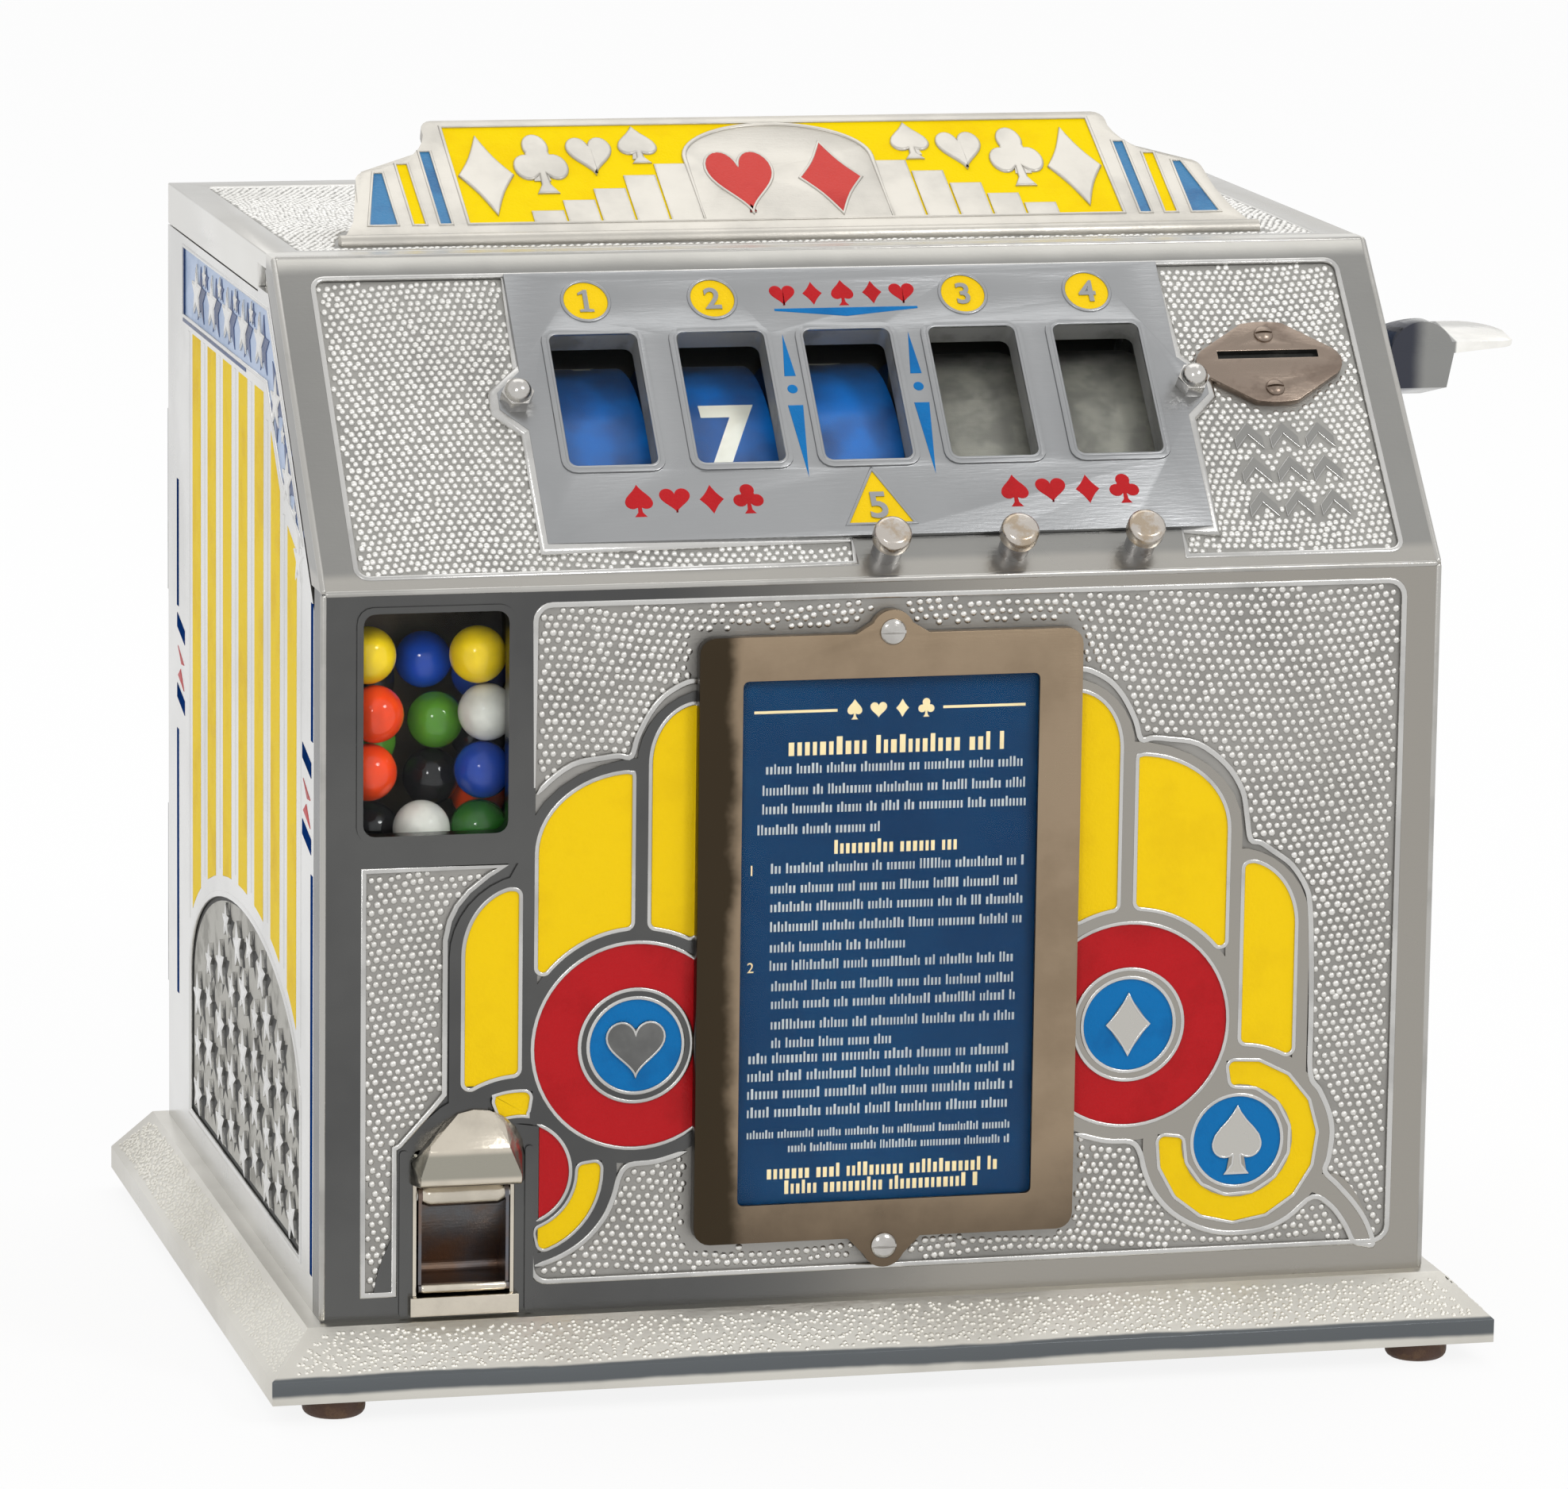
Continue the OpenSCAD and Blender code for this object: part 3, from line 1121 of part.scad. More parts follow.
pawl_a = -19;
pawl_d = shutter_ro + 8;
pawl_y = axis_y + pawl_d * cos(pawl_a);
pawl_z = axis_z + pawl_d * sin(pawl_a);
pawl_rod_r = 3;
tie_r = 3;
deck_t = 3;
tie_spots = [[60, base_z + 40], [150, base_z + 40], [150, base_z + 100]];
module mech_frame(s, top) {
  x0 = s > 0 ? frame_x : -frame_x - frame_t;
  color("lightsteelblue") place() difference() {
    across(x0, x0 + frame_t) polygon(concat([[50, base_z + deck_t], [165, base_z + deck_t],
      [165, base_z + 108], [pawl_y + 9, pawl_z + 9], [pawl_y - 12, pawl_z + 12]], top,
      [[50, axis_z - 30]]));
    rod_x(x0 - cut, x0 + frame_t + cut, axis_y, axis_z, shaft_r);
    rod_x(x0 - cut, x0 + frame_t + cut, pawl_y, pawl_z, pawl_rod_r + fit);
    for (p = tie_spots) rod_x(x0 - cut, x0 + frame_t + cut, p[0], p[1], tie_r);
    if (s > 0) rod_x(x0 - cut, x0 + frame_t + cut, pivot_y, pivot_z, lever_shaft_r + fit);
    across(x0 - cut, x0 + frame_t + cut) polygon([[70, base_z + 60], [135, base_z + 60],
      [135, base_z + 104], [axis_y + 22, axis_z - 42], [70, axis_z - 42]]);
  }
}
module mech_left_frame() { mech_frame(-1, [[axis_y + 14, axis_z + 10], [axis_y - 14, axis_z + 10]]); }
module mech_right_frame() {
  mech_frame(1, [[axis_y + 22, axis_z + 8], [pivot_y + 9, pivot_z + 4], [pivot_y + 4, pivot_z + 9],
    [pivot_y - 4, pivot_z + 9], [pivot_y - 9, pivot_z + 4], [axis_y - 14, axis_z + 8]]);
}
module tie_bars() {
  color("gray") place() for (p = tie_spots)
    rod_x(-frame_x - frame_t, frame_x + frame_t, p[0], p[1], tie_r);
}
module mech_base() {
  color("gray") place() box([-frame_x - frame_t - 4, 34, base_z],
    [frame_x + frame_t + 0.5, case_d - 32, base_z + deck_t]);
}
// Each pawl reaches in under its star wheel, and its tooth points up into the lowest gap
module pawl_bar() {
  tip_z = axis_z - star_r + 2.6;
  low_z = axis_z - star_r - 6;
  color("gray") place() {
    rod_x(-frame_x - frame_t, frame_x + frame_t, pawl_y, pawl_z, pawl_rod_r);
    for (i = [1:5]) let (x = reel_x(i) + reel_w / 2 + 0.3)
      across(x, x + star_t - 0.4) polygon([[axis_y, tip_z], [axis_y - 2, tip_z - 4], [axis_y - 2, low_z],
        [pawl_y - 8, low_z], [pawl_y + 2.6, pawl_z - 2], [pawl_y, pawl_z + 2.6], [pawl_y - 12, low_z + 5],
        [axis_y + 4, low_z + 3], [axis_y + 2, tip_z - 4]]);
  }
}

base_casting();
bottom_plate();
feet();
foot_screws();
lower_front();
upper_front();
left_side();
right_side();
top_casting();
marquee();
rear_door();
door_hinge();
door_lock();
lock_cam();
reel_window_plate();
window_glass();
plate_nuts();
coin_plate();
coin_plate_screws();
card_frame();
frame_screws();
instruction_card();
card_glass();
gum_window_glass();
cup_hood();
cup_flap();
flap_pin();
lever();
lever_shaft();
lever_crank();
lever_bush();
lever_spring();
house_button();
draw_3_button();
draw_4_button();
button_springs();
house_shutter();
draw_3_shutter();
draw_4_shutter();
reel_1();
reel_2();
reel_3();
reel_4();
reel_5();
star_wheel_1();
star_wheel_2();
star_wheel_3();
star_wheel_4();
star_wheel_5();
reel_shaft();
mech_left_frame();
mech_right_frame();
tie_bars();
mech_base();
pawl_bar();
coin_chute();
cash_box();
gum_magazine();
gumballs();
gum_wheel();
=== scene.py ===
import json
import math

import bmesh
import bpy
import numpy as np
from mathutils import Matrix, Vector


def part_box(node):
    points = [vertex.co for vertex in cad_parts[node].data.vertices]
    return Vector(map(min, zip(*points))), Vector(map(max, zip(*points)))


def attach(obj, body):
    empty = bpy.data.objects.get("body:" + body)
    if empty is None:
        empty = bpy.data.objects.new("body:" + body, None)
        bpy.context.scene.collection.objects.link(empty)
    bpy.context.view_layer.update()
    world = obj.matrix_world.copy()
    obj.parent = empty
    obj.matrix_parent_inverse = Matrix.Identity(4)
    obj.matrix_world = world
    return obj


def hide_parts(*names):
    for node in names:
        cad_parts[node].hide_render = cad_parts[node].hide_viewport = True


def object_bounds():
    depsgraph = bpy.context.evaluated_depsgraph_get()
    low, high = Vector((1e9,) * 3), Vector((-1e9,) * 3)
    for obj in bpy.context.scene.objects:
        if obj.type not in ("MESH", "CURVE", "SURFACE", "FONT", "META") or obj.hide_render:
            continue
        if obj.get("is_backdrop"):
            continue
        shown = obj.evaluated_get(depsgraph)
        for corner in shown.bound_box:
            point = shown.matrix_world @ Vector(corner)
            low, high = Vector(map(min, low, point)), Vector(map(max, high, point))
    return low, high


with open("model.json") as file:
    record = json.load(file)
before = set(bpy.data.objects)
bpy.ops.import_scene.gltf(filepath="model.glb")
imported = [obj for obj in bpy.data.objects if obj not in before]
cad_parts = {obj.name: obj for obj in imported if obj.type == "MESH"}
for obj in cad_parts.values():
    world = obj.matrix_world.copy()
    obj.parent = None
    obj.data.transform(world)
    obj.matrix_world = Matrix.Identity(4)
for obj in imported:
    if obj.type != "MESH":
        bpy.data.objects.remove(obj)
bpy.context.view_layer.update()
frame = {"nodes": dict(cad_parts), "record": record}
nodes = frame["nodes"]
bodyOf = {n: b for b, members in frame["record"]["behaviour"]["bodies"].items() for n in members}
print("frame loaded:", len(nodes), "nodes")

# The machine's own measure, in mm: x = 0 in its middle, y = 0 on the lower front, z = 0 on the counter
frontRelief = 0.0006
baseLow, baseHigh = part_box("base_casting")
machineShift = np.array([(baseLow.x + baseHigh.x) / 2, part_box("lower_front")[0].y + frontRelief, 0.0])
cabinet = {"halfWidth": 145.0, "baseHalf": 160.0, "depth": 228.0, "seam": 207.5, "slopeRise": 74.5, "slopeRun": 70.0,
           "top": 282.0, "bevelFoot": 11.5, "bevelRise": 10.5, "signY": 95.5, "signZ": 284.0}
slopeAngle = math.atan2(cabinet["slopeRise"], cabinet["slopeRun"])
signLean = math.radians(28.0)
camera = {"place": (-506.07, -1923.92, 547.34), "aim": (-27.1, 0.0, 165.9), "roll": 0.77, "lens": 184.66}


def toMetres(points):
    # mm in the machine's measure to metres in the shared frame
    return np.asarray(points, float) / 1000.0 + machineShift


def putIn(name, data):
    thing = bpy.data.objects.new(name, data)
    bpy.context.scene.collection.objects.link(thing)
    return thing


def makeCamera():
    # Stands where the photograph was taken, with the same roll and lens
    place, aim = Vector(toMetres(camera["place"])), Vector(toMetres(camera["aim"]))
    ahead = (aim - place).normalized()
    right = ahead.cross(Vector((0, 0, 1))).normalized()
    up = right.cross(ahead)
    c, s = math.cos(math.radians(camera["roll"])), math.sin(math.radians(camera["roll"]))
    right, up = c * right + s * up, c * up - s * right
    data = bpy.data.cameras.new("photo_camera")
    data.lens, data.sensor_width, data.sensor_fit = camera["lens"], 36.0, "HORIZONTAL"
    data.clip_start, data.clip_end = 0.05, 60.0
    viewer = putIn("photo_camera", data)
    viewer.matrix_world = Matrix.Translation(place) @ Matrix((right, up, -ahead)).transposed().to_4x4()
    bpy.context.scene.camera = viewer


makeCamera()


# Flat drawing sheets laid on the casting's faces: origin, across, up and outwards

def makeSheet(origin, across, up):
    a = np.array(across, float) / np.linalg.norm(across)
    b = np.array(up, float) / np.linalg.norm(up)
    return np.array(origin, float), a, b, np.cross(a, b)


half, wide, foot, rise = (cabinet[k] for k in ("halfWidth", "baseHalf", "bevelFoot", "bevelRise"))
upSlope, upSign = ((0, math.cos(a), math.sin(a)) for a in (slopeAngle, signLean))
sheets = {
    "front": makeSheet((0, 0, 0), (1, 0, 0), (0, 0, 1)),
    "slope": makeSheet((0, 0, cabinet["seam"]), (1, 0, 0), upSlope),
    "sign": makeSheet((0, cabinet["signY"], cabinet["signZ"]), (1, 0, 0), upSign),
    "left": makeSheet((-half, 0, 0), (0, -1, 0), (0, 0, 1)),
    "right": makeSheet((half, 0, 0), (0, 1, 0), (0, 0, 1)),
    "top": makeSheet((0, 0, cabinet["top"]), (1, 0, 0), (0, 1, 0)),
    "baseFront": makeSheet((0, -16, foot), (1, 0, 0), (0, 12, rise)),
    "baseLeft": makeSheet((-wide, 0, foot), (0, -1, 0), (11, 0, rise)),
    "baseRight": makeSheet((wide, 0, foot), (0, 1, 0), (-11, 0, rise)),
    "baseBack": makeSheet((0, 236, foot), (-1, 0, 0), (0, -4, rise)),
}


def onSheet(sheet, flat, height):
    # place = origin + across * first + up * second + outwards * height
    origin, a, b, n = sheets[sheet]
    flat = np.asarray(flat, float)
    height = np.broadcast_to(np.asarray(height, float), flat.shape[:-1])
    return toMetres(origin + flat[..., :1] * a + flat[..., 1:2] * b + height[..., None] * n)


def slopePoint(t, depth):
    # y and z at distance t up the slope and a depth below it
    c, s = math.cos(slopeAngle), math.sin(slopeAngle)
    return (t * c + depth * s, cabinet["seam"] + t * s - depth * c)


def slopeAtHeight(z, depth):
    return slopePoint((z - cabinet["seam"] + depth * math.cos(slopeAngle)) / math.sin(slopeAngle), depth)


# Shapes are gathered under their piece's name and become one object

drawn = {}


def addShape(name, points, faces, rise=None):
    heap = drawn.setdefault(name, {"points": [], "faces": [], "rise": [], "count": 0})
    points = np.asarray(points, float).reshape(-1, 3)
    heap["points"].append(points)
    heap["rise"].append(np.ones(len(points)) if rise is None else np.asarray(rise, float).ravel())
    heap["faces"] += [np.asarray(block, int) + heap["count"] for block in faces]
    heap["count"] += len(points)


def makePiece(name, finish, body="cabinet", slot="cast_aluminium", smooth=35.0, replaces=()):
    heap = drawn.pop(name)
    mesh = bpy.data.meshes.new(name)
    mesh.from_pydata(np.concatenate(heap["points"]).tolist(), [],
                     [row for block in heap["faces"] for row in np.atleast_2d(block).tolist()])
    layer = mesh.attributes.new("rise", "FLOAT", "POINT")
    layer.data.foreach_set("value", np.concatenate(heap["rise"]).astype(np.float32))
    mesh.update()
    mesh.shade_smooth()
    if smooth < 180:
        mesh.set_sharp_from_angle(angle=math.radians(smooth))
    # Faces of many sides lie flat, so they are shaded flat
    sides = np.zeros(len(mesh.polygons), int)
    mesh.polygons.foreach_get("loop_total", sides)
    mesh.polygons.foreach_set("use_smooth", sides < 5)
    piece = putIn(name, mesh)
    mesh.materials.append(finishes[finish])
    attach(piece, body)
    if replaces:
        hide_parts(*replaces)
    return piece


def makePieces(finishOf, **how):
    for name, finish in finishOf.items():
        makePiece(name, finish, **how)


def tidyLine(line):
    # Drops repeated points and makes the line run anticlockwise
    line = np.asarray(line, float)
    line = line[np.linalg.norm(line - np.roll(line, 1, 0), axis=1) > 1e-3]
    nxt = np.roll(line, -1, 0)
    area = np.sum(line[:, 0] * nxt[:, 1] - nxt[:, 0] * line[:, 1])
    return line if area > 0 else line[::-1]


def sideways(line, closed=True):
    # For each point, the vector to its right that keeps both edges' offset equal, capped at sharp corners
    if closed:
        before, after = line - np.roll(line, 1, 0), np.roll(line, -1, 0) - line
    else:
        steps = np.diff(line, axis=0)
        before, after = np.vstack([steps[:1], steps]), np.vstack([steps, steps[-1:]])
    before = before / np.linalg.norm(before, axis=1)[:, None]
    after = after / np.linalg.norm(after, axis=1)[:, None]
    n1, n2 = np.stack([before[:, 1], -before[:, 0]], 1), np.stack([after[:, 1], -after[:, 0]], 1)
    mid = n1 + n2
    mid = mid / np.maximum(np.linalg.norm(mid, axis=1), 1e-6)[:, None]
    return mid / np.maximum(np.sum(mid * n1, axis=1), 0.45)[:, None]


def gridFaces(rows, columns, closeRows=False, closeColumns=False):
    # Quads between a grid's neighbouring points, row by row
    r = np.arange(rows if closeRows else rows - 1)
    c = np.arange(columns if closeColumns else columns - 1)
    i, k = np.meshgrid(r, c, indexing="ij")
    i2, k2 = (i + 1) % rows, (k + 1) % columns
    return np.stack([i * columns + k, i * columns + k2, i2 * columns + k2, i2 * columns + k], -1).reshape(-1, 4)


def addPlate(name, line, profile, sheet):
    # An outline drawn in by each inset of the profile at that step's height, closed by one flat face
    line = tidyLine(line)
    out = sideways(line)
    n = len(line)
    addShape(name, np.concatenate([onSheet(sheet, line - out * inset, height) for inset, height in profile]),
             [gridFaces(len(profile), n, closeColumns=True), np.arange(n)[None] + (len(profile) - 1) * n])


def addBead(name, line, width, height, sheet, closed=True, base=0.0):
    # Half an oval with a flat foot, carried along a line; row = point of the line, column = step over the oval
    steps, endSize, footDepth = 6, 0.3, 0.5
    line = tidyLine(line) if closed else np.asarray(line, float)
    out = sideways(line, closed)
    t = np.linspace(0, np.pi, steps + 1)
    off = np.concatenate([-np.cos(t), [1, -1]]) * width / 2
    up = np.concatenate([np.sin(t) * height + base, [base - footDepth] * 2])
    size = np.ones(len(line))
    if not closed:
        size[[0, -1]] = endSize
    flat = line[:, None, :] + out[:, None, :] * (off[None] * size[:, None])[..., None]
    tall = np.where(np.arange(len(off))[None] <= steps, (up[None] - base) * size[:, None] + base, up[None])
    faces = [gridFaces(len(line), len(off), closeRows=closed, closeColumns=True)]
    if not closed:
        faces += [np.arange(len(off))[None, ::-1], np.arange(len(off))[None] + (len(line) - 1) * len(off)]
    addShape(name, onSheet(sheet, flat, tall), faces)


def drawOn(sheet, prefix="", flip=(1.0, 1.0)):
    # The two drawing functions bound to one sheet, with a mirrored drawing where asked
    def plate(name, line, profile):
        addPlate(prefix + name, np.asarray(line, float) * flip, profile, sheet)

    def bead(name, line, width, height, **how):
        addBead(prefix + name, np.asarray(line, float) * flip, width, height, sheet, **how)

    return plate, bead


def insideLine(points, line):
    # True where a ray to the right crosses the outline an odd number of times
    x, y = points[:, 0][:, None], points[:, 1][:, None]
    a, b = line, np.roll(line, -1, 0)
    cross = (a[None, :, 1] > y) != (b[None, :, 1] > y)
    run = np.where(np.abs((b - a)[None, :, 1]) < 1e-9, 1e-9, (b - a)[None, :, 1])
    at = a[None, :, 0] + (y - a[None, :, 1]) * (b - a)[None, :, 0] / run
    return np.sum(cross & (x < at), axis=1) % 2 == 1


def farFromLine(points, line):
    # Least distance from each point to the outline's edges
    d = np.roll(line, -1, 0) - line
    t = np.sum((points[:, None] - line[None]) * d[None], -1) / np.maximum(np.sum(d * d, -1), 1e-9)[None]
    near = line[None] + np.clip(t, 0, 1)[..., None] * d[None]
    return np.min(np.linalg.norm(points[:, None] - near, axis=-1), axis=1)


pebble = {"pitch": 2.36, "radius": 1.06, "height": 0.64, "wander": 0.2, "warp": 2.4, "sides": 7}


def pebbleSpots(rng, box, keep, drop, edge, pitch, wander):
    # Offset rows of points, warped by slow waves and nudged, kept inside one outline and outside the others
    xs, ys = np.arange(box[0] - 8, box[2] + 8, pitch), np.arange(box[1] - 8, box[3] + 8, pitch * 0.866)
    x, y = np.meshgrid(xs, ys)
    x = x + (np.arange(len(ys)) % 2)[:, None] * pitch / 2
    spots = np.stack([x + pebble["warp"] * np.sin(y / 17.0 + x / 41.0), y + pebble["warp"] * np.sin(x / 21.0)],
                     -1).reshape(-1, 2)
    spots += rng.normal(0, wander * pitch / 2.6, spots.shape)
    line = tidyLine(keep)
    spots = spots[insideLine(spots, line)]
    spots = spots[farFromLine(spots, line) > edge]
    for block in drop:
        line = tidyLine(block)
        near = (spots[:, 0] > line[:, 0].min() - 2) & (spots[:, 0] < line[:, 0].max() + 2)
        bad = np.zeros(len(spots), bool)
        if near.any():
            bad[near] = insideLine(spots[near], line) | (farFromLine(spots[near], line) < edge)
        spots = spots[~bad]
    return spots


def addPebbles(name, sheet, floor, box, keep, drop, seed, edge=1.05, pitch=pebble["pitch"], wander=pebble["wander"],
               size=1.0):
    # Each pebble is two rings of points and a tip on a quarter circle, turned and sized a little by chance
    rng = np.random.default_rng(seed)
    spots = pebbleSpots(rng, box, keep, drop, edge, pitch, wander)
    n, m = len(spots), pebble["sides"]
    r = pebble["radius"] * size * rng.uniform(0.86, 1.06, n)
    h = pebble["height"] * size * rng.uniform(0.8, 1.08, n)
    a = rng.uniform(0, np.pi / 3, n)[:, None] + np.arange(m)[None] * 2 * np.pi / m
    ringR, ringH = np.array([1.0, 0.68]), np.array([-0.12, 0.76])
    unit = np.stack([np.cos(a), np.sin(a)], -1)
    flat = spots[:, None, None, :] + unit[:, None] * (r[:, None] * ringR[None])[..., None, None]
    tall = floor + h[:, None, None] * np.broadcast_to(ringH[None, :, None], (n, 2, m))
    rings, tips = onSheet(sheet, flat, tall).reshape(n, 2 * m, 3), onSheet(sheet, spots, floor + h)[:, None]
    # Rise: 0 on the foot ring, 0.75 on the upper ring, 1 at the tip; the pebble finishes darken low rise as painted
    # shade
    rise = np.tile(np.concatenate([np.zeros(m), np.full(m, 0.75), [1.0]]), n)
    start, k = np.arange(n)[:, None, None] * (2 * m + 1), np.arange(m)
    quads = (gridFaces(2, m, closeColumns=True)[None] + start).reshape(-1, 4)
    fans = (np.stack([m + k, m + (k + 1) % m, np.full(m, 2 * m)], -1)[None] + start).reshape(-1, 3)
    addShape(name, np.concatenate([rings, tips], 1), [quads, fans], rise)


def addRod(name, start, end, r, steps=10):
    # A round rod with domed ends: each ring stands across the line between the two points
    start, end = np.array(start, float), np.array(end, float)
    ahead = (end - start) / np.linalg.norm(end - start)
    side1 = np.cross(ahead, [0.31, 0.77, 0.55])
    side1 /= np.linalg.norm(side1)
    side2 = np.cross(ahead, side1)
    a = np.linspace(0, 2 * np.pi, steps + 1)[:-1]
    unit = np.cos(a)[:, None] * side1 + np.sin(a)[:, None] * side2
    places = [(start, -0.9, 0.35), (start, -0.6, 0.8), (start, 0, 1), (end, 0, 1), (end, 0.6, 0.8), (end, 0.9, 0.35)]
    last = (len(places) - 1) * steps
    addShape(name, np.concatenate([toMetres(p + ahead * r * along + unit * r * k) for p, along, k in places]),
             [gridFaces(len(places), steps, closeColumns=True), np.arange(steps)[None, ::-1],
              np.arange(steps)[None] + last])


def addWall(name, line, low, high, sheet, floor=False):
    # The wall of a hole, seen from inside, with a floor where asked
    n = len(line)
    faces = [gridFaces(2, n, closeColumns=True)[:, ::-1]] + ([np.arange(n)[None] + n] if floor else [])
    addShape(name, np.concatenate([onSheet(sheet, line, h) for h in (high, low)]), faces)


# Outlines, in mm

def arcLine(c, r, a0, a1, n):
    a = np.radians(np.linspace(a0, a1, n + 1))
    rx, ry = (r, r) if np.isscalar(r) else r
    return np.stack([c[0] + rx * np.cos(a), c[1] + ry * np.sin(a)], -1)


def circleLine(c, r, n=48):
    return arcLine(c, r, 0, 360 - 360 / n, n - 1)


def boxLine(x0, y0, x1, y1):
    return np.array([[x0, y0], [x1, y0], [x1, y1], [x0, y1]], float)


def roundedLine(x0, y0, x1, y1, r, n=5):
    corners = ((x1 - r, y1 - r), (x0 + r, y1 - r), (x0 + r, y0 + r), (x1 - r, y0 + r))
    return np.concatenate([arcLine(c, r, 90 * k, 90 * k + 90, n) for k, c in enumerate(corners)])


def mirrored(line):
    return np.asarray(line, float) * np.array([-1.0, 1.0])


def heartLine(c, s):
    # x = 16 sin^3 t, y = 13 cos t - 5 cos 2t - 2 cos 3t - cos 4t, scaled
    t = np.linspace(0, 2 * np.pi, 48, endpoint=False)
    x = 16 * np.sin(t) ** 3
    y = 13 * np.cos(t) - 5 * np.cos(2 * t) - 2 * np.cos(3 * t) - np.cos(4 * t)
    return np.stack([c[0] + 0.375 * s * x, c[1] + 0.385 * s * y], -1)


def diamondLine(c, s):
    # Four slightly hollow sides between the tips
    tips = np.array([[5.6, 0], [0, 7.8], [-5.6, 0], [0, -7.8]]) * s
    t = np.linspace(0, 1, 7)[:-1, None]
    lines = [(tips[k] * (1 - t) + tips[(k + 1) % 4] * t) * (1 - 0.10 * np.sin(np.pi * t)) for k in range(4)]
    return np.concatenate(lines) + np.asarray(c, float)


def bothHalves(half, c, s):
    return np.concatenate([half, mirrored(half)[::-1][:-1]]) * s + np.asarray(c, float)


def spadeLine(c, s):
    shoulder = [[0, 8.8], [0.9, 7.3], [2.4, 5.3], [4.2, 3.4], [5.7, 1.5]]
    stem = [[0.9, -3.9], [1.1, -6.2], [2.9, -8.6]]
    return bothHalves(np.concatenate([shoulder, arcLine((3.1, -1.0), 3.3, 22, -128, 10), stem]), c, s)


def clubLine(c, s):
    crown, ear = arcLine((0, 4.4), 3.3, 90, -28, 9), arcLine((3.7, -1.1), 3.3, 100, -150, 14)
    return bothHalves(np.concatenate([crown, ear, [[0.9, -2.9], [1.1, -6.0], [2.7, -8.2]]]), c, s)


def starLine(c, r, turn=0.0):
    a = np.radians(90 + turn + np.arange(10) * 36)
    q = np.where(np.arange(10) % 2 == 0, r, r * 0.42)
    return np.stack([c[0] + q * np.cos(a), c[1] + q * np.sin(a)], -1)


def oneLine(c, s):
    # A figure one of height s: stem, flag and foot
    flag = np.array([[-0.27, -0.5], [0.27, -0.5], [0.27, -0.4], [0.09, -0.37], [0.09, 0.5], [-0.05, 0.5],
                     [-0.27, 0.36], [-0.27, 0.27], [-0.09, 0.33], [-0.09, -0.37], [-0.27, -0.4]])
    return flag * s + np.asarray(c, float)


def smoothLine(line, n=4):
    # Each stretch between two points becomes n points of a Catmull-Rom curve
    p = np.asarray(line, float)
    ext = np.vstack([2 * p[0] - p[1], p, 2 * p[-1] - p[-2]])
    m = len(p) - 1
    t = np.linspace(0, 1, n + 1)[:-1][None, :, None]
    a, b, c, d = (ext[k:k + m][:, None] for k in range(4))
    curve = 0.5 * (2 * b + (c - a) * t + (2 * a - 5 * b + 4 * c - d) * t ** 2 + (3 * b - a - 3 * c + d) * t ** 3)
    return np.vstack([curve.reshape(-1, 2), p[-1:]])


def roundCorners(line, radius, step=0.8):
    # Sampled by length; near each sharp corner the samples move on to the arc that touches both sides
    p = tidyLine(line)
    run = np.concatenate([[0], np.cumsum(np.linalg.norm(np.roll(p, -1, 0) - p, axis=1))])
    total, closed = run[-1], np.vstack([p, p[:1]])
    feel, longest, blunt = 1.5, 5.5, math.radians(76)

    def at(where):
        return np.stack([np.interp(np.mod(where, total), run, closed[:, k]) for k in (0, 1)], -1)

    where = np.linspace(0, total, int(total / step) + 1)[:-1]
    out = at(where)
    for i in range(len(p)):
        back, ahead = at(run[i] - feel) - p[i], at(run[i] + feel) - p[i]
        back, ahead = back / np.linalg.norm(back), ahead / np.linalg.norm(ahead)
        angle = math.acos(max(-1.0, min(1.0, float(back @ ahead)))) / 2
        if angle > blunt:
            continue
        reach = min(radius / math.tan(angle), longest)
        gap = np.mod(where - run[i] + total / 2, total) - total / 2
        close = np.abs(gap) < reach
        a, b = at(run[i] - reach), at(run[i] + reach)
        t = ((gap[close] / reach) + 1)[:, None] / 2
        b0, b1, b2 = (1 - t) ** 2, 2 * t * (1 - t) * math.sin(angle), t ** 2
        out[close] = (b0 * a + b1 * p[i] + b2 * b) / (b0 + b1 + b2)
    return out


def bakedMesh(piece):
    # The object's mesh after its modifiers, or a curve's filled mesh
    bpy.context.view_layer.update()
    return bpy.data.meshes.new_from_object(piece.evaluated_get(bpy.context.evaluated_depsgraph_get()))


def addNumber(name, text, middle, height, depth, sheet=None, place=None, floor=0.0, bold=0.0):
    # A plain figure from the built-in font, made a mesh, then laid on a sheet or placed by a function
    data = bpy.data.curves.new("figure", "FONT")
    data.body, data.align_x, data.align_y = text, "CENTER", "CENTER"
    data.offset, data.extrude, data.resolution_u = bold, 0.1, 4
    figure = putIn("figure", data)
    mesh = bakedMesh(figure)
    if place:
        # Cut level across in strips, so that the figure can bend round a drum
        work = bmesh.new()
        work.from_mesh(mesh)
        heights = [v.co.y for v in work.verts]
        for y in np.linspace(min(heights), max(heights), 16)[1:-1]:
            bmesh.ops.bisect_plane(work, geom=work.verts[:] + work.edges[:] + work.faces[:], plane_co=(0, y, 0),
                                   plane_no=(0, 1, 0))
        work.to_mesh(mesh)
        work.free()
    co = np.array([v.co for v in mesh.vertices])
    flat = co[:, :2] - (co[:, :2].max(0) + co[:, :2].min(0)) / 2
    flat = flat * height / np.ptp(co[:, 1]) + np.asarray(middle, float)
    tall = floor + (co[:, 2] / 0.1 + 1) / 2 * depth
    points = onSheet(sheet, flat, tall) if sheet else place(flat, tall)
    addShape(name, points, [[list(p.vertices)] for p in mesh.polygons])
    bpy.data.objects.remove(figure)
    bpy.data.meshes.remove(mesh)
    bpy.data.curves.remove(data)


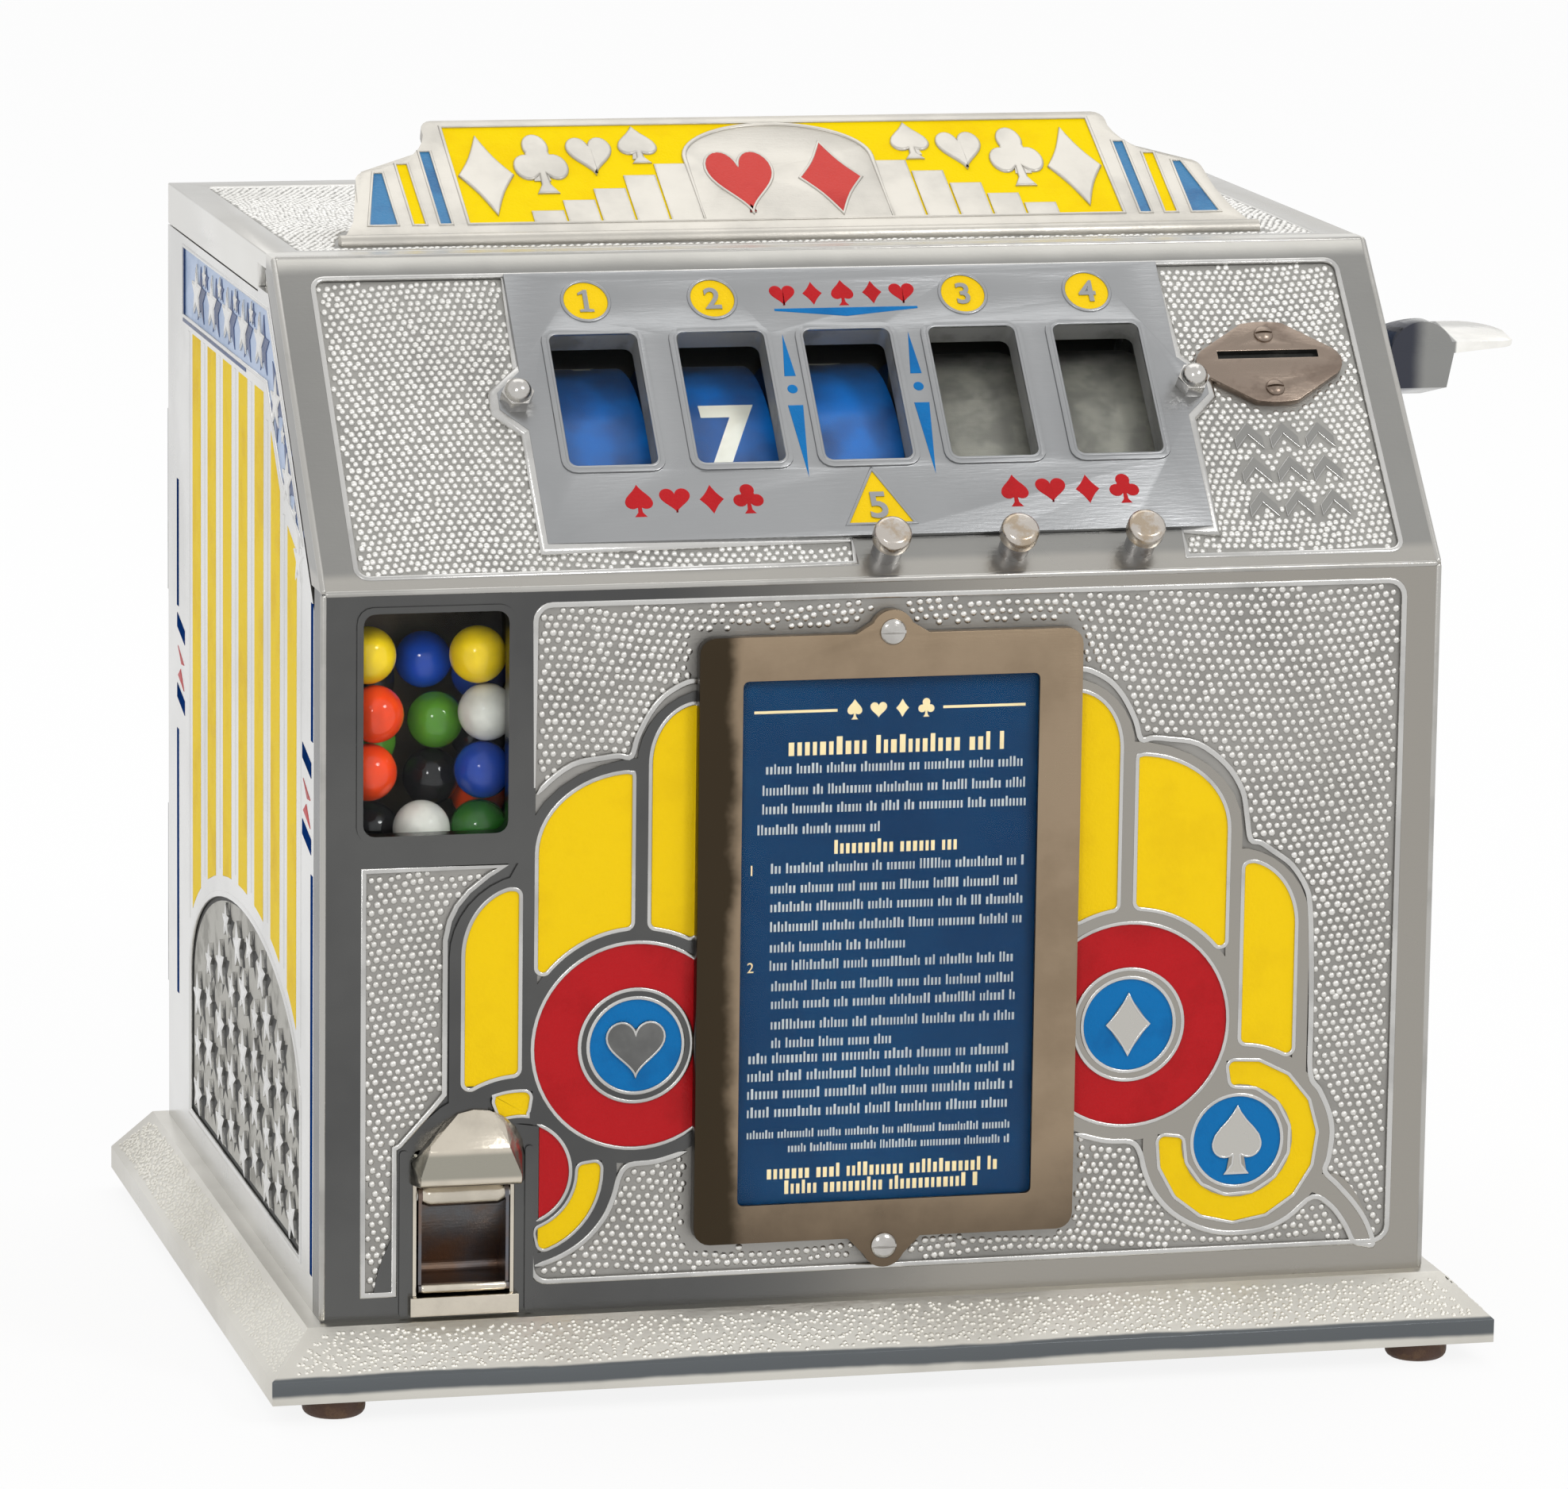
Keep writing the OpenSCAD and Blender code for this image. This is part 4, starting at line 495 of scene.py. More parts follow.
def softCopy(node, finish, edge, sharp=32.0):
    # The CAD solid again with its sharp edges rounded: loose triangles merged, flat parts rejoined, then a bevel
    mesh = nodes[node].data.copy()
    work = bmesh.new()
    work.from_mesh(mesh)
    bmesh.ops.remove_doubles(work, verts=work.verts, dist=1e-6)
    bmesh.ops.dissolve_limit(work, angle_limit=math.radians(1.0), verts=work.verts, edges=work.edges)
    work.to_mesh(mesh)
    work.free()
    mesh.materials.clear()
    mesh.materials.append(finishes[finish])
    piece = putIn(node + "_finish", mesh)
    bevel = piece.modifiers.new("edges", "BEVEL")
    bevel.width, bevel.segments, bevel.limit_method = edge / 1000, 2, "ANGLE"
    bevel.angle_limit, bevel.harden_normals, bevel.use_clamp_overlap = math.radians(30.0), False, True
    done = bakedMesh(piece)
    piece.modifiers.clear()
    piece.data = done
    done.name = piece.name
    done.shade_smooth()
    done.set_sharp_from_angle(angle=math.radians(sharp))
    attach(piece, bodyOf[node])
    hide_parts(node)


# Materials are built from nodes that are linked as they are made

def feed(node, values):
    # An input given a socket is linked to it, any other gets the value
    for key, value in values.items():
        if isinstance(value, bpy.types.NodeSocket):
            node.id_data.links.new(value, node.inputs[key])
        else:
            node.inputs[key].default_value = value


def setNode(tree, kind, values=None, **settings):
    node = tree.nodes.new("ShaderNode" + kind)
    for key, value in settings.items():
        setattr(node, key, value)
    feed(node, values or {})
    return node


def maths(tree, operation, *terms):
    return setNode(tree, "Math", dict(enumerate(terms)), operation=operation).outputs[0]


def spread(tree, value, span=(0.0, 1.0), to=(0.0, 1.0), smooth=False):
    # The value's share of its span, carried over to another range
    ends = {"From Min": span[0], "From Max": span[1], "To Min": to[0], "To Max": to[1]}
    return setNode(tree, "MapRange", {"Value": value, **ends},
                   interpolation_type="SMOOTHSTEP" if smooth else "LINEAR").outputs["Result"]


def blended(tree, share, a, b):
    return setNode(tree, "Mix", {"Factor": share, "A": a, "B": b}, data_type="RGBA").outputs["Result"]


def rgba(colour):
    return tuple(colour) + (1.0,)


def newGroup(name, inputs, outputs):
    tree = bpy.data.node_groups.new(name, "ShaderNodeTree")
    for label, (kind, value) in inputs.items():
        socket = tree.interface.new_socket(label, in_out="INPUT", socket_type="NodeSocket" + kind)
        if value is not None:
            socket.default_value = value
    for label, kind in outputs.items():
        tree.interface.new_socket(label, in_out="OUTPUT", socket_type="NodeSocket" + kind)
    return tree, tree.nodes.new("NodeGroupInput").outputs, tree.nodes.new("NodeGroupOutput")


# Handled metal: slow patches, small flecks and long fine scratches from three noises
handledMetal, given, made = newGroup(
    "handled metal", {"Vector": ("Vector", None), "Patch Scale": ("Float", 30.0), "Fleck Scale": ("Float", 900.0)},
    {"Patches": "Float", "Flecks": "Float", "Scratches": "Float"})
for label, scale, stretch, detail in (("Patches", "Patch Scale", None, 5.0), ("Flecks", "Fleck Scale", None, 3.0),
                                      ("Scratches", "Fleck Scale", (0.16, 1.0, 1.5), 2.0)):
    source = given["Vector"]
    if stretch:
        source = setNode(handledMetal, "Mapping", {"Vector": source, "Rotation": (0.3, 0.5, 0.2),
                                                   "Scale": stretch}).outputs["Vector"]
    noise = setNode(handledMetal, "TexNoise", {"Vector": source, "Scale": given[scale], "Detail": detail,
                                               "Roughness": 0.6})
    feed(made, {label: spread(handledMetal, noise.outputs["Fac"], (0.3, 0.7))})

# Two colours blended by a mask that is first sharpened about its middle
wornPatches, given, made = newGroup(
    "worn patches", {"Mask": ("Float", 0.5), "Level": ("Float", 0.5), "Softness": ("Float", 0.1),
                     "Sound": ("Color", (1, 1, 1, 1)), "Worn": ("Color", (0, 0, 0, 1))}, {"Color": "Color"})
ends = [maths(wornPatches, way, given["Level"], given["Softness"]) for way in ("SUBTRACT", "ADD")]
wear = spread(wornPatches, given["Mask"], ends, smooth=True)
feed(made, {"Color": blended(wornPatches, wear, given["Sound"], given["Worn"])})


def newMaterial(name, fixed):
    material = bpy.data.materials.new(name)
    material.use_nodes = True
    shader = material.node_tree.nodes["Principled BSDF"]
    feed(shader, fixed)
    return material, material.node_tree, shader


def newHandled(name, colour, worn, level, softness, patchScale, fleckScale, fixed):
    # What all finishes share: the object's own place, the three noises there, and the two colours by patches
    material, tree, shader = newMaterial(name, fixed)
    spot = setNode(tree, "TexCoord").outputs["Object"]
    handled = setNode(tree, "Group", node_tree=handledMetal)
    feed(handled, {"Vector": spot, "Patch Scale": patchScale, "Fleck Scale": fleckScale})
    patches = setNode(tree, "Group", node_tree=wornPatches)
    feed(patches, {"Mask": handled.outputs["Patches"], "Level": level, "Softness": softness, "Sound": rgba(colour),
                   "Worn": rgba(worn)})
    return material, tree, shader, handled.outputs, patches.outputs["Color"]


def metalFinish(name, colour, worn, rough=(0.22, 0.36), level=0.62, softness=0.16, patchScale=34.0, fleckScale=900.0,
                bump=0.00003, scratch=0.5, metallic=1.0, grime=None, gloss=0.5, tones=()):
    # Handled metal: two tones and roughness by patches, bump from flecks and scratches; painted shade darkens low
    # places by their rise
    material, tree, shader, handled, colourOut = newHandled(
        name, colour, worn, level, softness, patchScale, fleckScale,
        {"Metallic": metallic, "Specular IOR Level": gloss})
    height = setNode(tree, "Mix", {0: scratch, 2: handled["Flecks"], 3: handled["Scratches"]}, data_type="FLOAT")
    raised = setNode(tree, "Bump", {"Strength": 1.0, "Distance": bump, "Height": height.outputs[0]})
    for shade, wobble, spans in tones:
        # Painted light and shade: one more tone in part of the object, its share the product of smooth steps along
        # the named axes
        split = setNode(tree, "SeparateXYZ", {0: setNode(tree, "TexCoord").outputs["Object"]})
        share = None
        for axis, *ends in spans:
            shifted = maths(tree, "MULTIPLY_ADD", handled["Patches"], wobble, split.outputs[axis])
            step = spread(tree, shifted, ends, smooth=True)
            share = maths(tree, "MULTIPLY", share, step) if share else step
        colourOut = blended(tree, share, colourOut, rgba(shade))
    # Painted shade: the colour darkens toward low rise, at the feet of pebbles and grain
    if grime:
        rise = setNode(tree, "Attribute", attribute_name="rise").outputs["Fac"]
        colourOut = blended(tree, spread(tree, rise, (0.0, 0.6), (1.0, 0.0), smooth=True), colourOut, rgba(grime))
    feed(shader, {"Normal": raised.outputs["Normal"], "Roughness": spread(tree, handled["Patches"], to=rough),
                  "Base Color": colourOut})
    return material


def enamelFinish(name, colour, deep, level=0.7, coat=0.05, gloss=0.14):
    # Brushed-on enamel: slow change of depth, slight brush waves, thin places where its wear shows
    material, tree, shader, handled, colourOut = newHandled(
        name, colour, deep, level, 0.3, 55.0, 1300.0,
        {"Coat Weight": coat, "Coat Roughness": 0.12, "Specular IOR Level": gloss, "Metallic": 0.0})
    raised = setNode(tree, "Bump", {"Strength": 1.0, "Distance": 0.00005, "Height": handled["Flecks"]})
    feed(shader, {"Base Color": colourOut, "Roughness": spread(tree, handled["Flecks"], to=(0.3, 0.45)),
                  "Normal": raised.outputs["Normal"]})
    return material


def outputOf(tree):
    return [node for node in tree.nodes if node.type == "OUTPUT_MATERIAL"][0]


def glassFinish(name, tint, rough=0.02):
    material, tree, shader = newMaterial(name, {"Base Color": rgba(tint), "Transmission Weight": 1.0, "IOR": 1.15,
                                                "Metallic": 0.0})
    spot = setNode(tree, "TexCoord").outputs["Object"]
    noise = setNode(tree, "TexNoise", {"Vector": spot, "Scale": 60.0, "Detail": 3.0})
    feed(shader, {"Roughness": spread(tree, noise.outputs["Fac"], (0.4, 0.8), (rough, rough + 0.05))})
    # Lamp light passes straight through, so what lies behind the glass is lit
    mix = setNode(tree, "MixShader", {0: setNode(tree, "LightPath").outputs["Is Shadow Ray"], 1: shader.outputs[0],
                                      2: setNode(tree, "BsdfTransparent").outputs[0]})
    feed(outputOf(tree), {"Surface": mix.outputs[0]})
    return material


broad = dict(level=0.55, softness=0.5, patchScale=9)
soft = dict(softness=0.3, patchScale=14)
rough = dict(softness=0.3, fleckScale=1500)
plain = dict(metallic=0.0)
printed = dict(metallic=0.0, patchScale=15, bump=0.000003, gloss=0.1)
# The cast aluminium is given as copies at different levels, set by how each face and edge takes the light, which is
# painted light and shade: castFront is a dark, shaded copy; castBright for the sides and castLip and castCorner for
# lips and edges are light, lit copies; castSlope, castSmooth, castTop and castBase lie between; slopePebbled and
# slopeFloor are lighter copies of castPebbled and castFloor
metals = {
    "castSmooth": ((0.3, 0.296, 0.28), (0.25, 0.247, 0.236), (0.24, 0.36), broad),
    # castFront: a dark, shaded copy of the cast aluminium, lightened toward the right by its tone: painted
    # reflection, dark on the left and lighter on the right
    "castFront": ((0.115, 0.115, 0.112), (0.078, 0.078, 0.078), (0.22, 0.34),
        dict(broad, tones=[((0.33, 0.312, 0.28), 0.03, (("X", -0.05, 0.04),))])),
    # castSlope: lighter along the top rail and along the lower edge by the seam, painted highlight
    "castSlope": ((0.3, 0.296, 0.28), (0.25, 0.247, 0.236), (0.24, 0.36),
        dict(broad, tones=[((0.66, 0.645, 0.6), 0.002, (("Z", 0.2785, 0.2825),)),
            ((0.4, 0.385, 0.355), 0.002, (("Z", 0.2135, 0.2112),))])),
    # slopePebbled, used on the slope and the top: a lighter copy of castPebbled, painted light, whose low rings take
    # painted shade
    "slopePebbled": ((0.74, 0.73, 0.7), (0.66, 0.65, 0.62), (0.34, 0.46), dict(soft, grime=(0.37, 0.362, 0.34))),
    # slopeFloor: darker than the pebbles on it, painted shade
    "slopeFloor": ((0.34, 0.333, 0.312), (0.28, 0.275, 0.26), (0.42, 0.6), rough),
    # castTop: lighter below the level of its top face, painted highlight on the casting's edges and sides
    "castTop": ((0.45, 0.44, 0.415), (0.4, 0.392, 0.37), (0.24, 0.38),
        dict(soft, tones=[((0.74, 0.73, 0.7), 0.0, (("Z", 0.2822, 0.2815),))])),
    # baseSand: its grain darkens toward the foot, painted shade
    "baseSand": ((0.76, 0.74, 0.68), (0.68, 0.66, 0.6), (0.4, 0.52), dict(soft, grime=(0.5, 0.485, 0.435))),
    # Near black, for painted shade: the coin slot's wall and floor, a band round the inside of each side arch, and a
    # dark star behind each side star
    "grime": ((0.018, 0.018, 0.016), (0.04, 0.038, 0.034), (0.5, 0.7), dict(metallic=0.2, patchScale=90)),
    "reveal": ((0.3, 0.3, 0.29), (0.2, 0.2, 0.19), (0.45, 0.6), dict(metallic=0.45, patchScale=40)),
    # castPebbled: its low rings take painted shade
    "castPebbled": ((0.71, 0.695, 0.665), (0.63, 0.617, 0.585), (0.34, 0.46), dict(soft, grime=(0.31, 0.3, 0.28))),
    # castFloor: darker than the pebbles on it, painted shade
    "castFloor": ((0.33, 0.32, 0.3), (0.28, 0.272, 0.255), (0.42, 0.6), rough),
    "castBright": ((0.66, 0.656, 0.643), (0.6, 0.596, 0.583), (0.18, 0.3), soft),
    "castLip": ((0.56, 0.553, 0.535), (0.46, 0.455, 0.44), (0.2, 0.32), dict(patchScale=30)),
    # castBase: a dark band at the top of the base's front lip, painted shade
    "castBase": ((0.65, 0.63, 0.575), (0.57, 0.55, 0.5), (0.26, 0.4),
        dict(soft, tones=[((0.12, 0.13, 0.137), 0.001, (("Y", -0.1243, -0.125), ("Z", 0.0075, 0.0088)))])),
    # castSuit: dark suits on the left, lightened on the right by its tone, painted shade
    "castSuit": ((0.17, 0.17, 0.165), (0.13, 0.13, 0.127), (0.24, 0.36),
        dict(patchScale=30, tones=[((0.5, 0.485, 0.45), 0.0, (("X", -0.02, 0.02),))])),
    "castCorner": ((0.45, 0.44, 0.415), (0.38, 0.372, 0.35), (0.24, 0.36), dict(patchScale=30)),
    "castDark": ((0.44, 0.43, 0.395), (0.3, 0.292, 0.265), (0.45, 0.6),
        dict(patchScale=70, fleckScale=1100, bump=0.00012, scratch=0.1)),
    "signSatin": ((0.53, 0.505, 0.455), (0.46, 0.44, 0.4), (0.34, 0.46), dict(softness=0.3, fleckScale=1400)),
    "plateSatin": ((0.34, 0.345, 0.35), (0.3, 0.305, 0.31), (0.26, 0.38), dict(soft, scratch=0.75)),
    "nickel": ((0.52, 0.505, 0.48), (0.42, 0.405, 0.38), (0.12, 0.24), dict(soft, patchScale=60)),
    # hoodNickel: a darker band across the hood's lower part, painted reflection
    "hoodNickel": ((0.62, 0.565, 0.475), (0.52, 0.475, 0.4), (0.14, 0.26), dict(soft, patchScale=60,
            tones=[((0.33, 0.315, 0.265), 0.0, (("Z", 0.0662, 0.0648), ("Z", 0.0585, 0.0597)))])),
    # leverNickel: a near-white, lit copy of nickel, darker over the left of the hub and near black at its left edge,
    # painted light and shade
    "leverNickel": ((0.97, 0.955, 0.91), (0.86, 0.845, 0.8), (0.16, 0.28),
        dict(soft, patchScale=60, tones=[((0.27, 0.27, 0.26), 0.0, (("X", 0.1562, 0.1554),)),
            ((0.055, 0.058, 0.072), 0.001, (("X", 0.1485, 0.1435),))])),
    # frameBronze: darker over the lower part and near black on the left bar, painted shade
    "frameBronze": ((0.33, 0.25, 0.17), (0.26, 0.195, 0.13), (0.24, 0.42),
        dict(level=0.6, softness=0.4, patchScale=28, fleckScale=1600,
            tones=[((0.14, 0.105, 0.072), 0.02, (("Z", 0.075, 0.04),)),
            ((0.046, 0.034, 0.021), 0.006, (("X", -0.047, -0.052),))])),
    "coinBronze": ((0.27, 0.215, 0.175), (0.2, 0.155, 0.125), (0.22, 0.38), dict(patchScale=70)),
    "buttonBrass": ((0.52, 0.48, 0.435), (0.42, 0.345, 0.26), (0.16, 0.3), dict(level=0.6, patchScale=160)),
    "brass": ((0.62, 0.45, 0.17), (0.46, 0.32, 0.12), (0.2, 0.34), dict(patchScale=80)),
    "steel": ((0.42, 0.42, 0.42), (0.3, 0.29, 0.28), (0.28, 0.42), dict(patchScale=50)),
    "sheetSteel": ((0.50, 0.49, 0.45), (0.36, 0.35, 0.32), (0.3, 0.45), dict(patchScale=60)),
    "springSteel": ((0.35, 0.35, 0.36), (0.22, 0.2, 0.19), (0.25, 0.38), dict(patchScale=120)),
    "darkMirror": ((0.14, 0.147, 0.165), (0.2, 0.13, 0.09), (0.24, 0.4),
        dict(level=0.6, softness=0.4, patchScale=55)),
    "shutterOlive": ((0.2, 0.195, 0.163), (0.13, 0.126, 0.107), (0.45, 0.6),
        dict(level=0.5, softness=0.3, patchScale=120, fleckScale=2600, metallic=0.25, bump=0.00002)),
    # magazineDark: dark brown for the gum magazine and coin chute, painted shade inside the cabinet
    "magazineDark": ((0.045, 0.036, 0.028), (0.09, 0.072, 0.05), (0.4, 0.55),
        dict(level=0.6, softness=0.4, patchScale=60)),
    "blackPaint": ((0.02, 0.02, 0.02), (0.04, 0.035, 0.03), (0.4, 0.6), plain),
    "footRubber": ((0.075, 0.035, 0.02), (0.12, 0.065, 0.035), (0.55, 0.75),
        dict(plain, patchScale=200, bump=0.0001)),
    "drum": ((0.12, 0.05, 0.03), (0.08, 0.035, 0.02), (0.35, 0.5), plain),
    "reelBlue": ((0.0, 0.135, 0.5), (0.008, 0.05, 0.18), (0.28, 0.4),
        dict(plain, level=0.46, softness=0.5, patchScale=42, bump=0.000005)),
    "reelCream": ((0.80, 0.79, 0.70), (0.7, 0.68, 0.58), (0.35, 0.5), plain),
    "cardBlue": ((0.004, 0.046, 0.125), (0.002, 0.027, 0.085), (0.3, 0.4),
        dict(printed, level=0.5, softness=0.5, patchScale=13, gloss=0.08)),
    "cardCream": ((0.85, 0.7, 0.4), (0.78, 0.63, 0.34), (0.5, 0.6), printed),
    "cardPale": ((0.5, 0.53, 0.52), (0.42, 0.45, 0.45), (0.5, 0.6), printed),
}
dull = dict(coat=0.0, gloss=0.02)
enamels = {
    "yellow": ((0.95, 0.635, 0.0), (0.9, 0.59, 0.0), {}),
    "sideYellow": ((0.86, 0.61, 0.0), (0.78, 0.52, 0.0), dull),
    "sideBlue": ((0.004, 0.03, 0.15), (0.003, 0.022, 0.1), dict(coat=0.0, gloss=0.0)),
    # The star band: blue enamel made pale by painted reflection
    "bandBluePaintedSheen": ((0.36, 0.47, 0.68), (0.2, 0.31, 0.52), dict(coat=0.2, gloss=0.4)),
    # Dark navy beside the stars and along the band's edges: blue enamel with painted shadow and dark reflection
    "bandShadeNavy": ((0.012, 0.05, 0.18), (0.006, 0.028, 0.11), dict(coat=0.1, gloss=0.3)),
    "signYellow": ((0.93, 0.68, 0.0), (0.9, 0.62, 0.0), dull),
    "signRed": ((0.6, 0.045, 0.035), (0.5, 0.025, 0.022), dict(gloss=0.1)),
    "signBlue": ((0.03, 0.2, 0.42), (0.012, 0.12, 0.3), dict(coat=0.1, gloss=0.2)),
    "red": ((0.49, 0.008, 0.012), (0.42, 0.006, 0.009), {}),
    "blue": ((0.0, 0.165, 0.46), (0.0, 0.13, 0.38), {}),
}
finishes = {name: metalFinish(name, *three, **more) for name, (*three, more) in metals.items()}
finishes |= {name: enamelFinish(name, *two, **more) for name, (*two, more) in enamels.items()}
finishes["glass"] = glassFinish("glass", (0.97, 0.985, 0.985))

numbers = "12345"
nodesOf = {
    "castBase": "base_casting", "blackPaint": "bottom_plate", "footRubber": "feet", "castFront": "lower_front",
    "castSlope": "upper_front", "castBright": "left_side right_side", "castTop": "top_casting",
    "signSatin": "marquee", "castSmooth": "rear_door", "brass": "door_lock lever_bush",
    "plateSatin": "reel_window_plate",
    "glass": "window_glass card_glass gum_window_glass", "nickel": "plate_nuts frame_screws flap_pin",
    "coinBronze": "coin_plate coin_plate_screws", "frameBronze": "card_frame", "cardBlue": "instruction_card",
    "hoodNickel": "cup_hood", "darkMirror": "cup_flap", "leverNickel": "lever", "reelCream": "gumballs",
    "springSteel": "lever_spring button_springs", "buttonBrass": "house_button draw_3_button draw_4_button",
    "shutterOlive": "house_shutter draw_3_shutter draw_4_shutter", "drum": "gum_wheel",
    "sheetSteel": "mech_left_frame mech_right_frame mech_base cash_box", "magazineDark": "coin_chute gum_magazine",
    "reelBlue": " ".join("reel_" + i for i in numbers),
    "steel": "foot_screws door_hinge lock_cam lever_shaft lever_crank reel_shaft tie_bars pawl_bar "
             + " ".join("star_wheel_" + i for i in numbers)}
for finish, names in nodesOf.items():
    for name in names.split():
        nodes[name].data.materials.clear()
        nodes[name].data.materials.append(finishes[finish])
print("finishes made:", len(finishes))


# Lower front: pebbled fields, petals, roundels and their lips

ornament = {"disc": (64.5, 90.0), "suit": (94.3, 58.2), "petalX": [(49.0, 61.0), (65.8, 90.0), (94.6, 108.6)],
            "petalTop": [177.0, 160.0, 131.5], "petalFall": [15.0, 20.0, 17.0], "petalTurn": [84, 90, 78],
            "discGap": 30.5, "suitGap": 25.6, "lipGap": 0.35}
plate, bead = drawOn("front")


def petalLine(i, grow):
    # Foot on a circle round the roundel, straight inner side, quarter oval over the outer shoulder
    x0, x1 = ornament["petalX"][i][0] - grow, ornament["petalX"][i][1] + grow
    top, fall = ornament["petalTop"][i], ornament["petalFall"][i]
    key = "suit" if i == 2 else "disc"
    centre, r = ornament[key], ornament[key + "Gap"] - grow
    xs = np.linspace(x0, x1, 14)
    foot = np.stack([xs, centre[1] + np.sqrt(np.maximum(0, r * r - (xs - centre[0]) ** 2))], -1)
    crown = arcLine((x0, top - fall), (x1 - x0, fall + grow), 0, ornament["petalTurn"][i], 14)
    return roundCorners(np.concatenate([foot, crown, [[x0, top + grow - 0.6]]]), 1.5 + grow)


def ringLine(grow, a0=-187.0, a1=99.0, r0=14.8, r1=21.4):
    c = ornament["suit"]
    line = np.concatenate([arcLine(c, r1 + grow, a0, a1, 12), arcLine(c, r0 - grow, a1, a0, 10)])
    return roundCorners(line, 2.0, 0.7)


def addBand(name, centre, r0, r1, face, sheet, depth=-1.05):
    # A full ring of enamel: two circles at each step of its profile, walls inside and out, closed on itself
    steps = [(r1, depth), (r1, face + 0.12), (r1 - 0.5, face), (r0 + 0.5, face), (r0, face + 0.12), (r0, depth)]
    unit = circleLine((0, 0), 1.0, 72)
    addShape(name, np.concatenate([onSheet(sheet, np.asarray(centre, float) + unit * r, h) for r, h in steps]),
             [gridFaces(len(steps), len(unit), closeRows=True, closeColumns=True)])


# Width and height of each kind of lip
lipSize = {"field": (1.5, 0.3), "inner": (1.4, 0.3), "petal": (1.1, 0.26), "ring": (1.0, 0.26), "arc": (0.9, 0.24),
           "suit": (0.6, 0.2)}
enamelProfile = [(-0.05, -1.1), (-0.05, -0.2), (0.3, -0.33), (0.9, -0.4)]
raisedProfile = [(-0.25, -1.0), (-0.25, -0.12), (0.0, 0.04), (0.35, 0.08)]


def edged(name, line, size="ring", lip=None):
    # Enamel or raised metal with a bright lip round it
    plate(name, line, raisedProfile if name == "front_suits" else enamelProfile)
    bead("front_lips", line if lip is None else lip, *lipSize[size])


for side in (1, -1):
    way = np.array([side, 1.0])
    disc, suit = ornament["disc"] * way, ornament["suit"] * way
    for i in range(3):
        edged("front_yellow", petalLine(i, 0) * way, "petal", petalLine(i, ornament["lipGap"]) * way)
    addBand("front_red", disc, 14.9, 26.3, -0.4, "front")
    plate("front_blue", circleLine(disc, 12.0), enamelProfile)
    for r in (26.6, 14.5, 12.3):
        bead("front_lips", circleLine(disc, r, 64), *lipSize["ring"])
    if side > 0:
        edged("front_yellow", ringLine(0), lip=ringLine(ornament["lipGap"]))
        edged("front_blue", circleLine(suit, 11.8), lip=circleLine(suit, 12.1, 56))
        for line in (diamondLine(disc, 1.0), spadeLine(suit, 1.0)):
            edged("front_suits", line, "suit")
    else:
        # Beside the cup only parts of the second roundel show
        edged("front_suits", heartLine(disc + np.array([0, 0.2]), 1.25), "suit")
        plate("front_red", arcLine(suit, 12.9, -66, 66, 24), enamelProfile)
        bead("front_lips", arcLine(suit, 13.3, -70, 70, 28), *lipSize["ring"], closed=False)
        for a0, a1 in ((-187.0, -104.0), (70.0, 99.0)):
            edged("front_yellow", mirrored(ringLine(0, a0, a1)), "arc")

# Outer outline of the smooth metal round petals and roundels
outline = np.array([[49.0, 182.8], [52.4, 182.4], [57.7, 179.5], [61.5, 175.2], [64.7, 169.1], [66.3, 164.2],
                    [69.5, 164.4], [73.4, 164.0], [81.5, 162.5], [89.0, 156.9], [93.5, 150.1], [94.9, 143.3],
                    [96.0, 137.2], [98.8, 136.2], [102.0, 134.0], [107.1, 130.2], [111.0, 124.5], [112.4, 119.0],
                    [113.1, 105.0], [113.4, 90.0], [113.6, 75.1], [116.2, 70.6], [118.8, 65.0], [119.9, 59.4],
                    [119.2, 52.6], [118.3, 48.9], [121.9, 45.1], [126.5, 39.9], [129.8, 34.8], [131.8, 29.1],
                    [129.4, 29.0], [126.4, 30.0], [124.1, 34.4], [120.2, 39.6], [115.1, 42.3], [108.3, 37.1],
                    [101.4, 34.3], [92.1, 33.8], [84.5, 35.7], [77.5, 39.8], [72.4, 45.5], [69.8, 51.2],
                    [68.4, 56.2], [65.9, 59.1], [59.1, 59.7], [51.0, 61.9], [44.0, 66.0], [44.0, 182.8]])
leftField = np.array([[-134.3, 137.3], [-134.3, 28.4], [-126.2, 28.4], [-126.2, 66.0], [-124.9, 66.6],
                      [-116.0, 76.5], [-113.5, 79.5], [-113.5, 119.0], [-112.4, 124.0], [-110.6, 127.6],
                      [-107.6, 131.2], [-102.5, 135.2], [-98.8, 137.3]])
field = {"right": (-90.6, 30.2, 135.0, 202.8), "left": (-136, 28, -97, 138), "corner": 4.0, "floor": -0.8,
         "lip": (-91.0, 29.8, 135.5, 203.2), "lipCorner": 4.2, "lipEnds": (43.0, 157.0),
         "gumWindow": (-135.5, 145.1, -96.9, 203.1), "gumCorner": 3.6}
cardFrame = {"box": (-50.4, 37.2, 50.4, 194.8), "corner": 3, "screws": (194.4, 35.8), "screwRadius": 6.4}
fieldSkin = [(0.0, -1.1), (0.0, -0.76)]
rightField = roundedLine(*field["right"], field["corner"])
cardPlace = [roundedLine(*cardFrame["box"], cardFrame["corner"])]
cardPlace += [circleLine((0, z), cardFrame["screwRadius"], 24) for z in cardFrame["screws"]]
addPebbles("front_pebbles", "front", field["floor"], field["right"], rightField,
           [outline, mirrored(outline)] + cardPlace, 11)
addPebbles("front_pebbles_left", "front", field["floor"], field["left"], leftField, [], 12)
makePieces({"front_pebbles": "castPebbled", "front_pebbles_left": "castPebbled"}, smooth=180)
# Dark floor between the pebbles, a thin skin just above the casting's own field; its darkness is painted shade
for line in (rightField, leftField):
    plate("front_field_floor", line, fieldSkin)
makePiece("front_field_floor", "castFloor")

